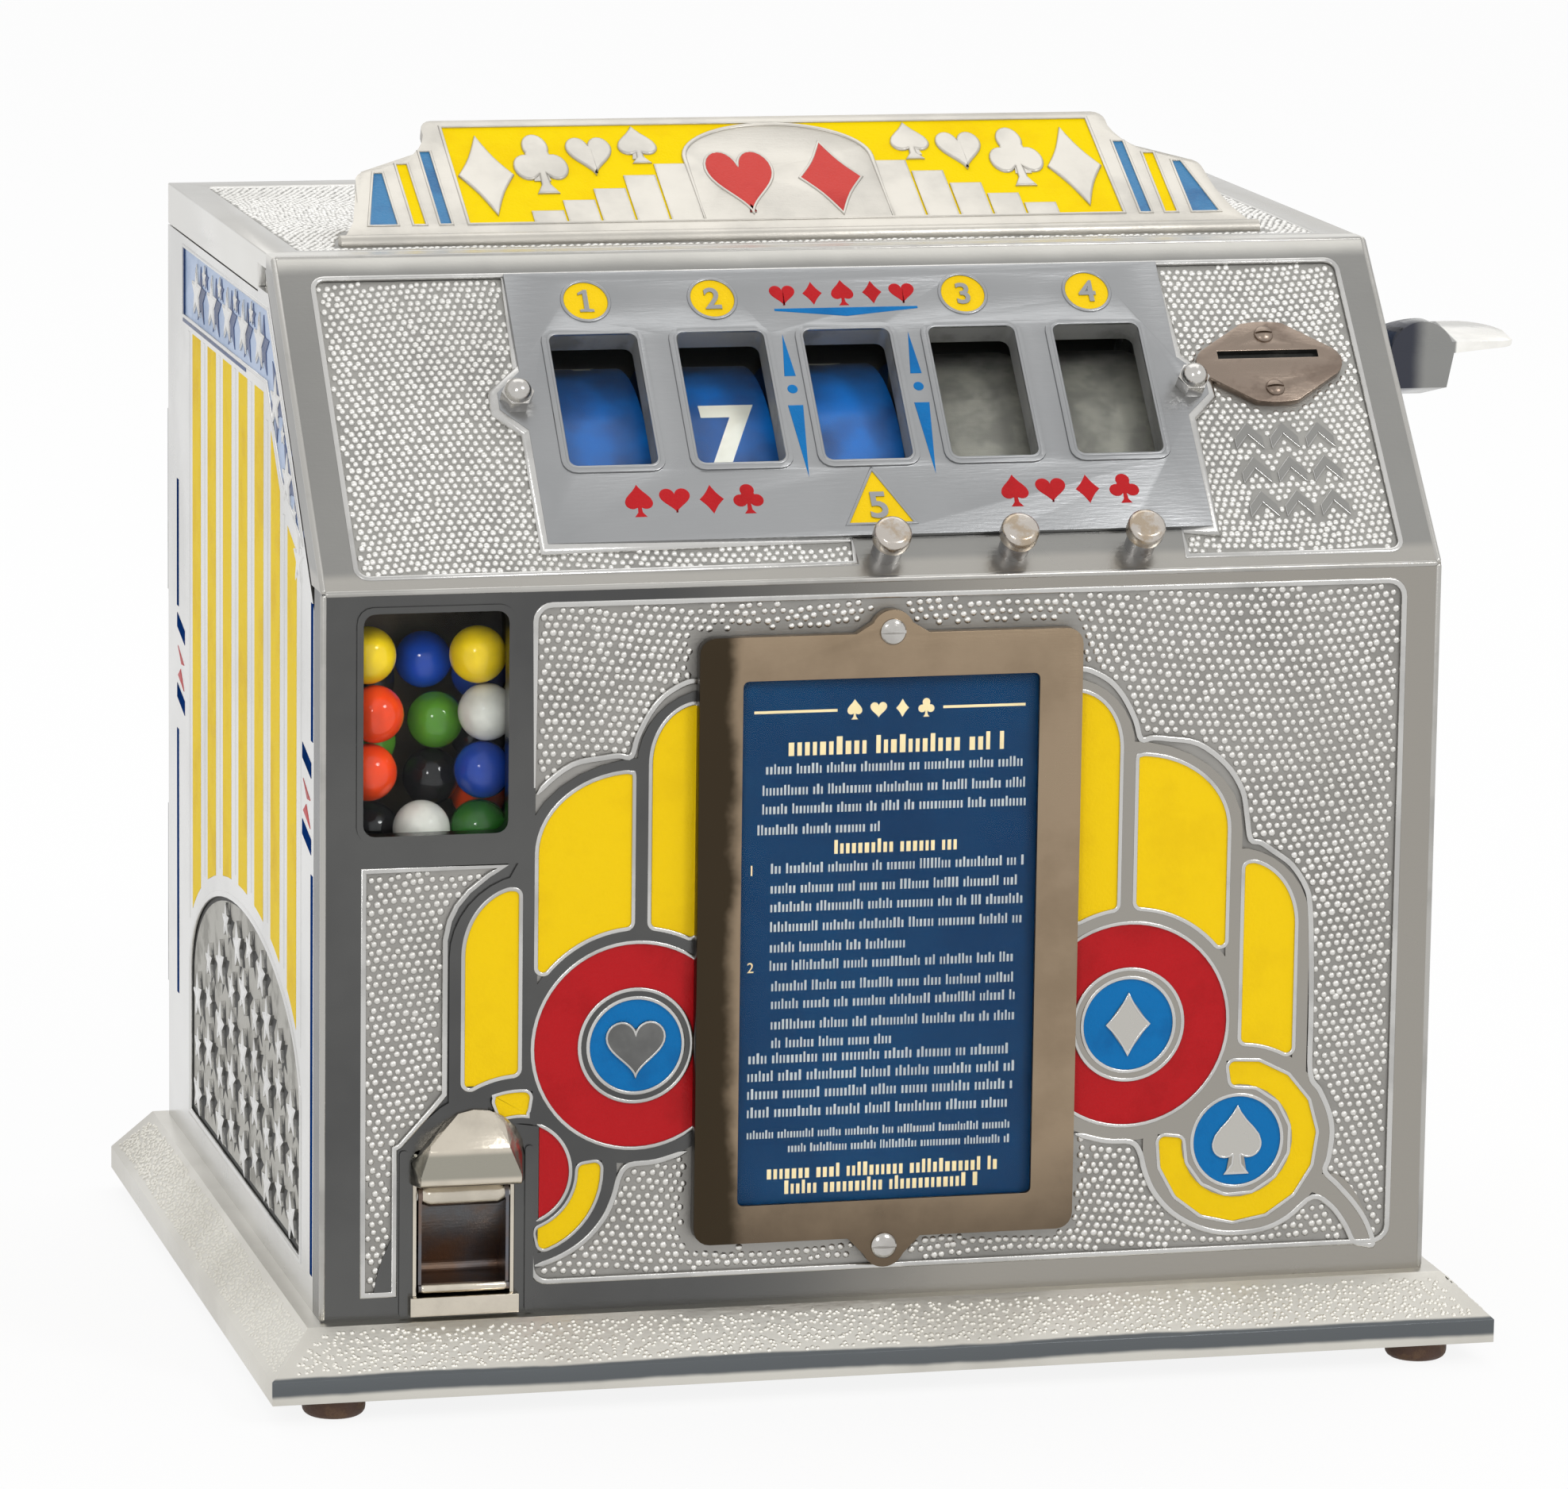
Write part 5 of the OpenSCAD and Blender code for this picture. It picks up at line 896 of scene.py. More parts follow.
# Rounded lips: round the fields and along the ornament
line = smoothLine(outline[:-2])
bead("front_lips", line, *lipSize["field"], closed=False)
line = mirrored(line)
line = line[line[:, 0] > field["right"][0] - 0.2]
for part in (line[line[:, 1] > 100], line[line[:, 1] <= 100]):
    bead("front_lips", part, *lipSize["field"], closed=False)
x0, z0, x1, z1 = field["lip"]
r = field["lipCorner"]
corners = [arcLine(c, r, a, a + 90, 5) for c, a in (((x0 + r, z0 + r), 180), ((x1 - r, z0 + r), 270),
                                                    ((x1 - r, z1 - r), 0), ((x0 + r, z1 - r), 90))]
frameLine = np.concatenate([[[x0, field["lipEnds"][0]]]] + corners + [[[x0, field["lipEnds"][1]]]])
bead("front_lips", frameLine, *lipSize["field"], closed=False)
bead("front_lips", leftField, *lipSize["inner"])
bead("front_lips", roundedLine(*field["gumWindow"], field["gumCorner"]), 1.5, 0.75, base=-0.2)
makePieces({"front_yellow": "yellow", "front_red": "red", "front_blue": "blue"})
makePiece("front_lips", "castLip", smooth=60)
makePiece("front_suits", "castSuit")
print("lower front dressed")


# Sloping front: pebbled field, window plate with its enamel, coin plate

slope = {"field": (-135.2, 4.6, 135.2, 95.0), "buttons": (-7.6, 0, 77.8, 12.5), "plateHalf": 86.4, "plateTop": 96.0,
         "plateLow": 11.9, "plateFace": 1.2, "ear": 55.8, "pitch": 33.1, "windowU": 55.1, "window": (23.0, 40.4)}
coin = {"x": 111.0, "u": 62.5, "across": 13.6, "endRadii": (6, 5.4), "up": 7.6, "sideRadii": (12, 5), "slotU": 64.9,
        "slotHalf": (13.45, 1.15), "turn": 62, "chevronX": (-9.5, 0.0, 9.5), "chevronU": (19.0, 29.5, 40.0)}
plate, bead = drawOn("slope")
edgeX, earLine = slope["plateHalf"], np.array([[0, -9], [6.6, -2.6], [6.6, 2.6], [0, 9]])
low, high = slope["plateLow"], slope["plateTop"]
platePlace = np.concatenate([[[-edgeX, low], [edgeX, low]], earLine + [edgeX, slope["ear"]],
                             [[edgeX, high], [-edgeX, high]], -earLine + [-edgeX, slope["ear"]]])
x, u, turn = coin["x"], coin["u"], coin["turn"]
coinPlace = np.concatenate([arcLine((x + coin["across"], u), coin["endRadii"], -turn, turn, 8),
                            arcLine((x, u + coin["up"]), coin["sideRadii"], turn, 180 - turn, 6),
                            arcLine((x - coin["across"], u), coin["endRadii"], 180 - turn, 180 + turn, 8),
                            arcLine((x, u - coin["up"]), coin["sideRadii"], 180 + turn, 360 - turn, 6)])
chevron = np.array([[-3.6, 0], [0, 4.4], [3.6, 0], [3.6, -3], [0, 1.4], [-3.6, -3]])
chevrons = [chevron + (coin["x"] + x, u) for u in coin["chevronU"] for x in coin["chevronX"]]
addPebbles("slope_pebbles", "slope", field["floor"], slope["field"], roundedLine(*slope["field"], 3.0),
           [boxLine(*slope["buttons"]), platePlace, coinPlace] + chevrons, 21, edge=0.95, pitch=2.1, size=0.93)
inset = 0.05
# Dark floor between the slope's pebbles: painted shade
for ends in ((-135.2, 4.6, -84.0, 95.0), (-84.2, 4.6, -8.0, 14.0), (84.0, 4.6, 135.2, 95.0),
             (78.2, 4.6, 84.2, 14.0)):
    plate("slope_field_floor", boxLine(*ends), [(inset, height) for _, height in fieldSkin])
corners = [arcLine(c, 3.2, a, a - 90, 5) for c, a in (((-132.4, 7.4), 270), ((-132.4, 92.2), 180),
                                                      ((132.4, 92.2), 90), ((132.4, 7.4), 0))]
lipLine = [[[-8.2, 12.4], [-8.2, 4.8], [-132, 4.2]]] + corners + [[[78.4, 4.2], [78.4, 12.4]]]
bead("slope_lips", np.concatenate(lipLine), *lipSize["inner"], closed=False)
for line in chevrons:
    plate("coin_chevrons", line, [(-0.1, -1.3), (-0.1, -0.45), (0.25, -0.2), (0.5, -0.15)])
makePiece("slope_pebbles", "slopePebbled", smooth=180)
makePiece("slope_field_floor", "slopeFloor")
makePiece("slope_lips", "castLip", smooth=60)
w, h = coin["slotHalf"]
slotLine = roundedLine(coin["x"] - w, coin["slotU"] - h, coin["x"] + w, coin["slotU"] + h, 0.3, 3)
# A near-black wall and floor just inside the coin slot: painted shade where the slot is deep
addWall("coin_slot_shade", slotLine, -0.5, 1.0, "slope", floor=True)
makePieces({"coin_slot_shade": "grime", "coin_chevrons": "castBright"})
softCopy("reel_window_plate", "plateSatin", 0.55)
softCopy("coin_plate", "coinBronze", 0.45)

for start, way in ((8.0, -1), (78.6, 1)):
    ear = (earLine + [edgeX, slope["ear"]])[::way]
    edge = np.concatenate([[[start, 12.2], [edgeX - 0.2, 12.2]], ear, [[edgeX - 0.2, slope["field"][3]]]])
    bead("plate_bevel", edge * (way, 1), 4.6, 1.75, closed=False, base=-0.75)
makePiece("plate_bevel", "castLip", slot="window_plate_aluminium", smooth=60)
face = slope["plateFace"]
sunk = [(-0.05, face - 0.5), (-0.05, face - 0.1), (0.3, face - 0.14), (0.9, face - 0.16)]
paint = [(0, face - 0.3), (0, face + 0.03), (0.12, face + 0.1), (0.3, face + 0.11)]
figure = {"sheet": "slope", "floor": face - 0.2, "bold": 0.02}
windowX = [(i - 2) * slope["pitch"] for i in range(5)]
for x, text in zip(windowX[:2] + windowX[3:], "1234"):
    plate("plate_yellow", circleLine((x, 86.0), 5.8, 40), sunk)
    bead("plate_figures", circleLine((x, 86.0), 6.15, 40), 0.9, 0.3, base=face)
    if text == "1":
        plate("plate_figures", oneLine((x, 86.0), 6.8), [(0, face - 0.2), (0, face + 0.12), (0.08, face + 0.16)])
    else:
        addNumber("plate_figures", text, (x, 86.0), 6.6, 0.36, **figure)
plate("plate_yellow", [[-8.4, 16.0], [8.4, 16.0], [0.0, 31.8]], sunk)
bead("plate_figures", [[-8.9, 15.7], [8.9, 15.7], [0.0, 32.5]], 0.8, 0.3, base=face)
addNumber("plate_figures", "5", (0.0, 21.3), 8.0, 0.36, **figure)
pips = [spadeLine, heartLine, diamondLine, clubLine]
for k, pip in enumerate(pips):
    lift, size = (0.5, 0.66) if pip is heartLine else (0, 0.56)
    for x, u, pitch in ((-61.5, 24.4, 9.4), (36.2, 24.6, 9.6)):
        plate("plate_red", pip((x + pitch * k, u + lift), size), paint)
for k, pip in enumerate([heartLine, diamondLine, spadeLine, diamondLine, heartLine]):
    plate("plate_red", pip((-14.6 + 7.9 * k, 87.0), 0.56 if pip is heartLine else 0.46), paint)
plate("plate_blue", [[-17.4, 82.4], [-17.4, 81.7], [1.4, 79.7], [20.4, 81.7], [20.4, 82.4]], paint)
for x in (-slope["pitch"] / 2, slope["pitch"] / 2):
    plate("plate_blue", [[x - 1.5, 61.4], [x + 1.5, 61.4], [x, 74.4]], paint)
    plate("plate_blue", circleLine((x, 57.4), 1.35, 20), paint)
    plate("plate_blue", [[x - 2.0, 52.4], [x, 30.4], [x + 2.0, 52.4]], paint)
for x in windowX:
    w, h = np.array(slope["window"]) / 2
    hole = roundedLine(x - w, slope["windowU"] - h, x + w, slope["windowU"] + h, 2.4)
    bead("plate_figures", hole + (hole - [x, slope["windowU"]]) * [0.024, 0.014], 0.8, 0.22, base=face + 0.66)
    inner = tidyLine(hole)
    addWall("window_linings", inner - sideways(inner) * 0.06, -5.1, face + 0.6, "slope")
makePiece("window_linings", "reveal")
makePieces({"plate_yellow": "yellow", "plate_red": "red", "plate_blue": "blue"}, slot="window_plate_aluminium")
makePiece("plate_figures", "plateSatin", slot="window_plate_aluminium", smooth=50)
print("sloping front dressed")


# Marquee sign

sign = {"half": 87.8, "low": 4.3, "high": 48.0, "archHalf": 25.3, "archFoot": 32.0, "archRise": 15.3,
        "steps": [9.5, 14.0, 19.0, 24.8, 29.8], "stepFirst": 25.6, "stepPitch": 9.1, "stepWidth": 8.5,
        "pips": [(spadeLine, (37.0, 38.6), (0.8, 0.95)), (heartLine, (50.2, 35.2), (1.0, 1.5)),
                 (clubLine, (64.4, 31.0), (1.02, 1.66)), (diamondLine, (79.6, 25.8), (1.3, 2.3))]}
filled = [(-0.05, -1.1), (-0.05, -0.2), (0.3, -0.3), (1.0, -0.36)]
raised = [(-0.15, -1.0), (-0.15, 0.0), (0.1, 0.25), (0.45, 0.34)]
stepRise = [(-0.02, -1.0), (-0.02, -0.05), (0.3, 0.12), (0.6, 0.16)]
redRise = [(-0.05, -0.6), (-0.05, 0.1), (0.35, 0.18), (1.0, 0.2)]
h, lo, hi = sign["half"], sign["low"], sign["high"]
plate, bead = drawOn("sign", "sign_")
plate("yellow", boxLine(-h, lo, h, hi), filled)
arch = arcLine((0, sign["archFoot"]), (sign["archHalf"], sign["archRise"]), 0, 180, 28)
bead("raised", np.concatenate([[[sign["archHalf"], lo - 0.5]], arch, [[-sign["archHalf"], lo - 0.5]]]), 1.3, 0.35,
     closed=False)
for side in (1.0, -1.0):
    plate, bead = drawOn("sign", "sign_", (side, 1.0))
    for pip, spot, size in sign["pips"]:
        plate("raised", pip(np.zeros(2), 1.0) * size + spot, raised)
    for k, top in enumerate(sign["steps"]):
        left = sign["stepFirst"] + (4 - k) * sign["stepPitch"]
        plate("raised", boxLine(left, lo - 0.4, left + sign["stepWidth"], top), stepRise)
    # Feathers: foot from and to, then the top's right end, left end and height
    for name, a, b, c, d, top in (("blue", 106.8, 114.0, 109.2, 107.0, 27.5), ("blue", 92.6, 95.4, 95.5, 92.8, 37.0),
                                  ("yellow", 99.4, 102.4, 102.6, 99.8, 31.4)):
        plate(name, [[a, lo], [b, lo], [c, top], [d, top]], filled)
    for a, b, c, d, top in ((106.5, 114.5, 109.4, 106.7, 27.9), (92.3, 95.7, 95.8, 92.5, 37.3),
                            (99.1, 102.7, 102.9, 99.5, 31.7)):
        bead("raised", [[a, lo - 0.3], [b, lo - 0.3], [c, top], [d, top]], 0.7, 0.25)
plate, bead = drawOn("sign", "sign_")
for pip, size, spot in ((heartLine, [1.5, 2.5], [-11.8, 23.2]), (diamondLine, [1.5, 2.1], [12.2, 22.4])):
    line = pip(np.zeros(2), 1.0) * size + spot
    plate("red", line, redRise)
    bead("raised", line, 0.8, 0.3)
bead("raised", boxLine(-h - 0.3, lo - 0.3, h + 0.3, hi + 0.3), 0.9, 0.3)
softCopy("marquee", "signSatin", 0.6)
makePieces({"sign_yellow": "signYellow", "sign_red": "signRed", "sign_blue": "signBlue"})
makePiece("sign_raised", "signSatin", smooth=50)
print("sign dressed")


# Both sides: stripes, star band, arch of stars, sash ornaments

side = {"arch": (111.0, 70.0), "archRadii": (83.0, 35.0), "archLow": 31.0, "stripes": 7, "pitch": 23.6, "width": 12.8,
        "first": 182.3, "bandTop": 268.0, "bandLow": 249.0, "bandRear": 204.0, "stripeTop": 246.0, "rib": 9.6,
        "footRadii": (88.0, 40.0), "sashes": ((20.0, 151.0), (207.5, 151.5))}


def archTop(y):
    # Height of the oval that the stripes stand on
    (cy, cz), (ry, rz) = side["arch"], side["footRadii"]
    return cz + rz * np.sqrt(np.maximum(0, 1 - ((y - cy) / ry) ** 2))


def stripeLine(k):
    # Foot over the arch, top under the star band or the slope's line
    y = np.linspace(-side["width"] / 2, side["width"] / 2, 9) + side["first"] - k * side["pitch"]
    (ya, za), (yb, zb) = slopeAtHeight(219.5, 31), slopeAtHeight(side["stripeTop"], 31)
    top = np.interp(y, [0, ya, yb, cabinet["depth"]], [199.5, za, zb, side["stripeTop"]])
    return np.concatenate([np.stack([y, archTop(y)], -1), np.stack([y, top], -1)[::-1]])


archY, archReach = side["arch"][0], side["archRadii"]
archOutline = np.concatenate([[[archY - archReach[0], side["archLow"]]], arcLine(side["arch"], archReach, 180, 0, 32),
                              [[archY + archReach[0], side["archLow"]]]])
bandLow, bandTop, bandRear = (side[k] for k in ("bandLow", "bandTop", "bandRear"))
bandOutline = np.array([slopeAtHeight(215.5, 14), slopeAtHeight(bandTop, 14), (bandRear, bandTop),
                        (bandRear, bandLow), slopeAtHeight(bandLow, 28), slopeAtHeight(227.5, 28)])
archStars = [((archY + (k - (n - 1) / 2) * 17.5, 39 + row * 13.5 + (k % 2) * 3), 6.4 if (k + row) % 2 == 0 else 4.8,
              (k * 37 + row * 20) % 30 - 15) for row, n in enumerate([9, 9, 9, 7, 4]) for k in range(n)]
archStars = [s for s in archStars if insideLine(np.array([s[0]]), archOutline)[0]
             and farFromLine(np.array([s[0]]), archOutline)[0] > s[1] * 0.55]
bandStars = [((side["first"] - side["pitch"] * k, 258.0), 7.5, 0) for k in range(5)]
bandStars += [(slopePoint(24 + 24 * k, 21), 7.1, 0) for k in range(3)]
smallStars = [((side["first"] - side["pitch"] * (k + 0.5), 263.6), 3.0, 0) for k in range(4)]
smallStars += [(slopePoint(36 + 24 * k, 18), 2.6, 0) for k in range(2)]
# Profiles: each step's inset and height
stripeRise, borderRise = [(0, -0.3), (0, 0.03), (0.1, 0.04)], [(0, -0.3), (0, 0.04), (0.2, 0.06)]
edgeRise, sashRise = [(0, -0.3), (0, 0.05), (0.2, 0.1)], [(0, -0.3), (0, 0.05), (0.2, 0.12)]
bandShadeRise, shadowRise = [(0, -0.9), (0, -0.2), (0.3, -0.16)], [(0, -1.3), (0, -0.93), (0.3, -0.9)]
archSkin, starRise = [(0, -1.4), (0, -0.96)], [(-0.1, -1.0), (-0.1, 0.0), (0.35, 0.2), (0.7, 0.3)]
for sheet, way in (("left", -1.0), ("right", 1.0)):
    prefix = sheet + "_side_"
    plate, bead = drawOn(sheet, prefix, (way, 1.0))
    for k in range(side["stripes"]):
        plate("yellow", stripeLine(k), stripeRise)
    for k in range(side["stripes"] + 1):
        # A raised rib in each gap between the stripes, as tall as its lower neighbour
        y = side["first"] - (k - 0.5) * side["pitch"]
        front, rear = max(k - 1, 0), min(k, side["stripes"] - 1)
        top = min(stripeLine(front)[-1][1], stripeLine(rear)[9][1])
        bead("lips", [[y, archTop(y) + 2], [y, min(top + 2, side["stripeTop"])]], side["rib"], 0.5, closed=False)
    for y, z0, z1 in ((13.0, 31, 134), (13.0, 168, 203), (212.6, 60, 134), (212.6, 168, 203)):
        plate("blue", boxLine(y - 1.5, z0, y + 1.5, z1), borderRise)
    plate("band", bandOutline, filled)
    for (y, z), r, turn in bandStars + smallStars:
        # Painted shadow and dark reflection beside each star, toward the front, wider down the slope
        if z > bandLow + 1:
            plate("flank", starLine((y - 0.7 * r, z - 0.08 * r), r * 1.1, turn), bandShadeRise)
        else:
            plate("flank", starLine((y - 1.0, z + 1.0), r * 1.55, turn + 36), bandShadeRise)
    # Dark strips along the band's rear end and under its lower edge: painted shade
    for ends in ((bandRear - 1.8, bandLow, bandRear, bandTop), (107.0, bandLow - 1.6, bandRear, bandLow - 0.6)):
        plate("flank", boxLine(*ends), edgeRise)
    bead("lips", bandOutline, 1.0, 0.25)
    plate("arch_floor", archOutline, archSkin)
    bead("lips", archOutline, 1.6, 0.3)
    # Painted shade: a dark band round the inside of the arch, and behind each star a larger dark star set toward the
    # front and down, its painted shadow
    bead("grime", archOutline, 4.0, 0.12, base=-0.97)
    for (y, z), r, turn in archStars:
        plate("grime", starLine((y - 2.0, z - 1.2), r + 1.9, turn), shadowRise)
    for spot, r, turn in archStars + bandStars + smallStars:
        plate("stars", starLine(spot, r, turn), starRise)
    # Sash ornaments, painted on the front and rear borders
    for spot in side["sashes"]:
        for dz in (-11.5, 8.0):
            plate("blue", np.array([[-6, -0.6], [6, 2.6], [6, 6.6], [-6, 3.4]]) + spot + (0, dz), sashRise)
        for part in ([[-5, -5.6], [5, -2.6], [0.6, -0.2]], [[-5, 1.6], [-0.6, 1.2], [5, 5.6]]):
            plate("red", np.array(part) + spot, sashRise)
    makePieces({prefix + name: finish for name, finish in (
        ("yellow", "sideYellow"), ("band", "bandBluePaintedSheen"), ("blue", "sideBlue"), ("flank", "bandShadeNavy"),
        ("arch_floor", "castDark"), ("grime", "grime"), ("stars", "castBright"))})
    makePiece(prefix + "lips", "castBright", smooth=60)
    makePiece(prefix + "red", "red")
print("sides dressed")


# Top and base

topBox = (-136.0, 82.0, 136.0, 218.0)
topLine = roundedLine(*topBox, 2.0)
signFoot = np.array([[-125, 88], [125, 88], [118, 117], [112, 126], [92, 140], [90, 144.5], [-90, 144.5], [-92, 140],
                     [-112, 126], [-118, 117]])
addPebbles("top_pebbles", "top", -0.6, topBox, topLine, [signFoot], 31, edge=1.0, pitch=2.0, size=0.86)
# Dark floor between the top's pebbles: painted shade
addPlate("top_field_floor", topLine, [(0.05, -0.9), (0.05, -0.57)], "top")
makePiece("top_pebbles", "slopePebbled", smooth=180)
makePiece("top_field_floor", "slopeFloor")
softCopy("top_casting", "castTop", 1.0)
softCopy("base_casting", "castBase", 0.9)
# Each bevel of the base: its ends, its height, how far its upper corners stand in, and its grain's pitch and size
bevels = {"baseFront": (-157.5, 157.5, 15.9, 11.0, 1.62, 0.7), "baseLeft": (-234, 14, 15.2, 8.0, 1.3, 0.56),
          "baseRight": (-14, 234, 15.2, 8.0, 1.3, 0.56), "baseBack": (-157.5, 157.5, 11.2, 11.0, 1.3, 0.56)}
for sheet, (a0, a1, b1, run, pitch, size) in bevels.items():
    line = np.array([[a0 + 1.6, 1.5], [a1 - 1.6, 1.5], [a1 - run, b1 - 1.2], [a0 + run, b1 - 1.2]])
    addPebbles("base_pebbles", sheet, -0.1, (a0, 0, a1, b1), line, [], 41, edge=0.5, pitch=pitch, wander=0.9,
               size=size)
makePiece("base_pebbles", "baseSand", smooth=180)

# Rounded corners of the front castings
corner = {"x": 144.45, "depth": 0.55, "radius": 0.85, "low": 23.0, "seam": 206.6, "slope": (1.0, 101.5),
          "half": 143.6, "across": ((0.6, 207.2, 0.9), (70.3, 281.45, 0.8))}
depth, r = corner["depth"], corner["radius"]
low, high = (slopePoint(t, depth) for t in corner["slope"])
for x in (-corner["x"], corner["x"]):
    addRod("casting_corners", (x, depth, corner["low"]), (x, depth, corner["seam"]), r)
    addRod("casting_corners", (x, *low), (x, *high), r)
for y, z, r in corner["across"]:
    addRod("casting_corners", (-corner["half"], y, z), (corner["half"], y, z), r)
makePiece("casting_corners", "castCorner", smooth=180)
print("top and base dressed")


# Card under glass: rules, bars and plain figures

card = {"box": (-41.2, 46.4, 41.2, 185.6), "ink": [(0, 0.2), (0, 0.33), (0.02, 0.34)], "heading": 2.5}
plate, bead = drawOn("front")
plate("instruction_card_sheet", roundedLine(*card["box"], 0.4), [(0, 0.01), (0, 0.3)])
makePiece("instruction_card_sheet", "cardBlue", slot="printed_card", replaces=("instruction_card",))


def addBar(name, x0, x1, z, height):
    plate(name, boxLine(x0, z - height / 2, x1, z + height / 2), card["ink"])


addBar("card_print", -35.0, -13.5, 174.3, 0.7)
addBar("card_print", 14.0, 35.5, 174.3, 0.7)
for k, pip in enumerate(pips):
    plate("card_print", pip((-9.0 + 6.2 * k, 174.4), 0.36 if pip is heartLine else 0.3), card["ink"])
rows = [(164.7, -26, 30, 3.4), (159.4, -31.8, 35.7, 1.9), (154.0, -32.6, 36.3, 1.9), (149.2, -32.6, 36.3, 1.9),
        (143.9, -33.8, -1.6, 1.9), (138.8, -13.8, 18.2, 2.6), (133.9, -30.2, 36.3, 1.9), (128.8, -30.2, 34.6, 1.9),
        (124.0, -30.2, 35.7, 1.9), (118.9, -30.2, 36.2, 1.9), (113.6, -30.2, 6.5, 1.9), (108.9, -30.2, 34.6, 1.9),
        (103.6, -29.7, 34.1, 1.9), (99.0, -29.7, 34.6, 1.9), (93.7, -29.7, 34.1, 1.9), (88.9, -29.5, 2.1, 1.9),
        (85.0, -35.4, 34.6, 2.0), (80.4, -35.6, 34.9, 2.0), (75.8, -35.6, 34.6, 2.0), (71.0, -35.6, 33.4, 2.0),
        (65.3, -35.6, 33.8, 1.6), (61.5, -24.8, 33.8, 1.6), (55.1, -30.2, 29.9, 2.6), (51.1, -25.6, 25.2, 2.6)]
rng = np.random.default_rng(5)
for z, x, end, height in rows:
    # A row of print: words of small upright strokes, some of them taller
    heavy, left = height > card["heading"], int(rng.integers(3, 14))
    while x < end - 0.6:
        wide = height * rng.uniform(0.24, 0.36) * (1.25 if heavy else 0.9)
        tall = height * (1.0 if rng.random() < 0.72 else 1.36)
        addBar("card_print" if heavy else "card_print_pale", x, x + wide, z + (tall - height) * 0.5, tall)
        left -= 1
        x += wide + height * (0.24 if left else 0.75)
        left = left or int(rng.integers(3, 14))
makePiece("card_print_pale", "cardPale", slot="printed_card")
for text, z in (("1", 133.9), ("2", 108.9)):
    addNumber("card_print", text, (-35.2, z), 2.6, 0.12, "front", floor=0.22)
makePiece("card_print", "cardCream", slot="printed_card")
softCopy("card_frame", "frameBronze", 0.8)
flap = {"x": (-120.1, -96.9), "bars": ((1.5, 53.5, 3.0), (-0.1, 29.6, 1.3))}
for y, z, r in flap["bars"]:
    addRod("cup_flap_bars", (flap["x"][0] + r, y, z), (flap["x"][1] - r, y, z), r, 14)
makePiece("cup_flap_bars", "hoodNickel", body="flap", slot="nickel_plate", smooth=180)
print("card printed")


# Reels with plain figures round their faces

reel = {"radius": 44.0, "axisY": 73.9603, "axisZ": 206.4782, "middle": math.radians(136.784), "height": 21.0,
        "faces": 6, "first": 1.5, "shift": {2: 2.0}}
order = {1: ["", "4", "9", "2", "6", "3"], 2: ["7", "", "3", "10", "5", "8"], 3: ["", "6", "8", "11", "5", "9"],
         4: ["2", "8", "5", "10", "4", "1"], 5: ["9", "3", "6", "1", "7", "4"]}


def onReel(flat, tall):
    # The drawing's height runs round the drum: angle = middle - height / radius
    a = reel["middle"] - flat[:, 1] / reel["radius"]
    r = reel["radius"] + tall
    return toMetres(np.stack([flat[:, 0], reel["axisY"] + r * np.cos(a), reel["axisZ"] + r * np.sin(a)], -1))


for i, texts in order.items():
    name = "reel_%d_figures" % i
    for k, text in enumerate(texts):
        spot = ((i - 3) * slope["pitch"] + reel["shift"].get(i, 0),
                reel["first"] + k * math.tau * reel["radius"] / reel["faces"])
        if text:
            addNumber(name, text, spot, reel["height"], 0.16, place=onReel, floor=-0.06, bold=0.035)
    makePiece(name, "reelCream", body="number_reel_%d" % i, slot="reel_strip")
print("reels numbered")


# Gumballs: sugar shells in their own colours

balls = {"radius": 7.3, "corner": (-134.6, 5.8, 146.0), "wheel": (-108.5, 26.0, 125.6), "rings": 17, "sides": 28,
         "spots": [(3.6, 7.7, 43.5), (20.5, 21.7, 39.5), (31.7, 7.7, 42.9), (5.6, 7.7, 28.5), (22.8, 17.2, 24.8),
                   (34, 7.7, 28.2), (3.9, 7.7, 13.8), (21.9, 18.2, 10.1), (33, 7.7, 13.5), (6.4, 17.2, -2.9),
                   (17.5, 7.7, -1.1), (32.2, 7.7, -1.3), (6.1, 22.5, 34.5), (6.6, 22.5, 19), (35.1, 22.5, 35.5),
                   (35.2, 23.4, 19.6), (35.1, 22.5, 4.9)],
         "colours": "yellow blue yellow orange green white orange black navy black white forest black green navy "
                    "black orange yellow".split()}
shell = {"yellow": (0.86, 0.6, 0.005), "blue": (0.004, 0.07, 0.52), "orange": (0.84, 0.055, 0.004),
         "green": (0.08, 0.26, 0.02), "white": (0.64, 0.64, 0.58), "black": (0.006, 0.006, 0.007),
         "navy": (0.006, 0.045, 0.32), "forest": (0.02, 0.12, 0.015)}
lat, lon = np.linspace(0, np.pi, balls["rings"]), np.linspace(0, 2 * np.pi, balls["sides"] + 1)[:-1]
ringZ, ringR = np.cos(lat[1:-1]), np.sin(lat[1:-1])[:, None]
unit = np.stack(np.broadcast_arrays(ringR * np.cos(lon), ringR * np.sin(lon), ringZ[:, None]), -1).reshape(-1, 3)
unit = np.concatenate([unit, [[0, 0, 1], [0, 0, -1]]])
n, m, k = len(ringZ), len(lon), np.arange(len(lon))
capTop = np.stack([np.full(m, n * m), k, (k + 1) % m], -1)
capLow = np.stack([np.full(m, n * m + 1), (n - 1) * m + (k + 1) % m, (n - 1) * m + k], -1)
spots = [np.array(balls["corner"]) + s for s in balls["spots"]] + [np.array(balls["wheel"])]
for spot in spots:
    addShape("gumballs_coloured", toMetres(spot + unit * balls["radius"]),
             [gridFaces(n, m, closeColumns=True)[:, ::-1], capTop, capLow])
tints = np.repeat([rgba(shell[colour]) for colour in balls["colours"]], len(unit), axis=0)
finishes["sugarShell"], tree, shader = newMaterial(
    "sugarShell", {"Coat Weight": 0.6, "Coat Roughness": 0.04, "Specular IOR Level": 0.12})
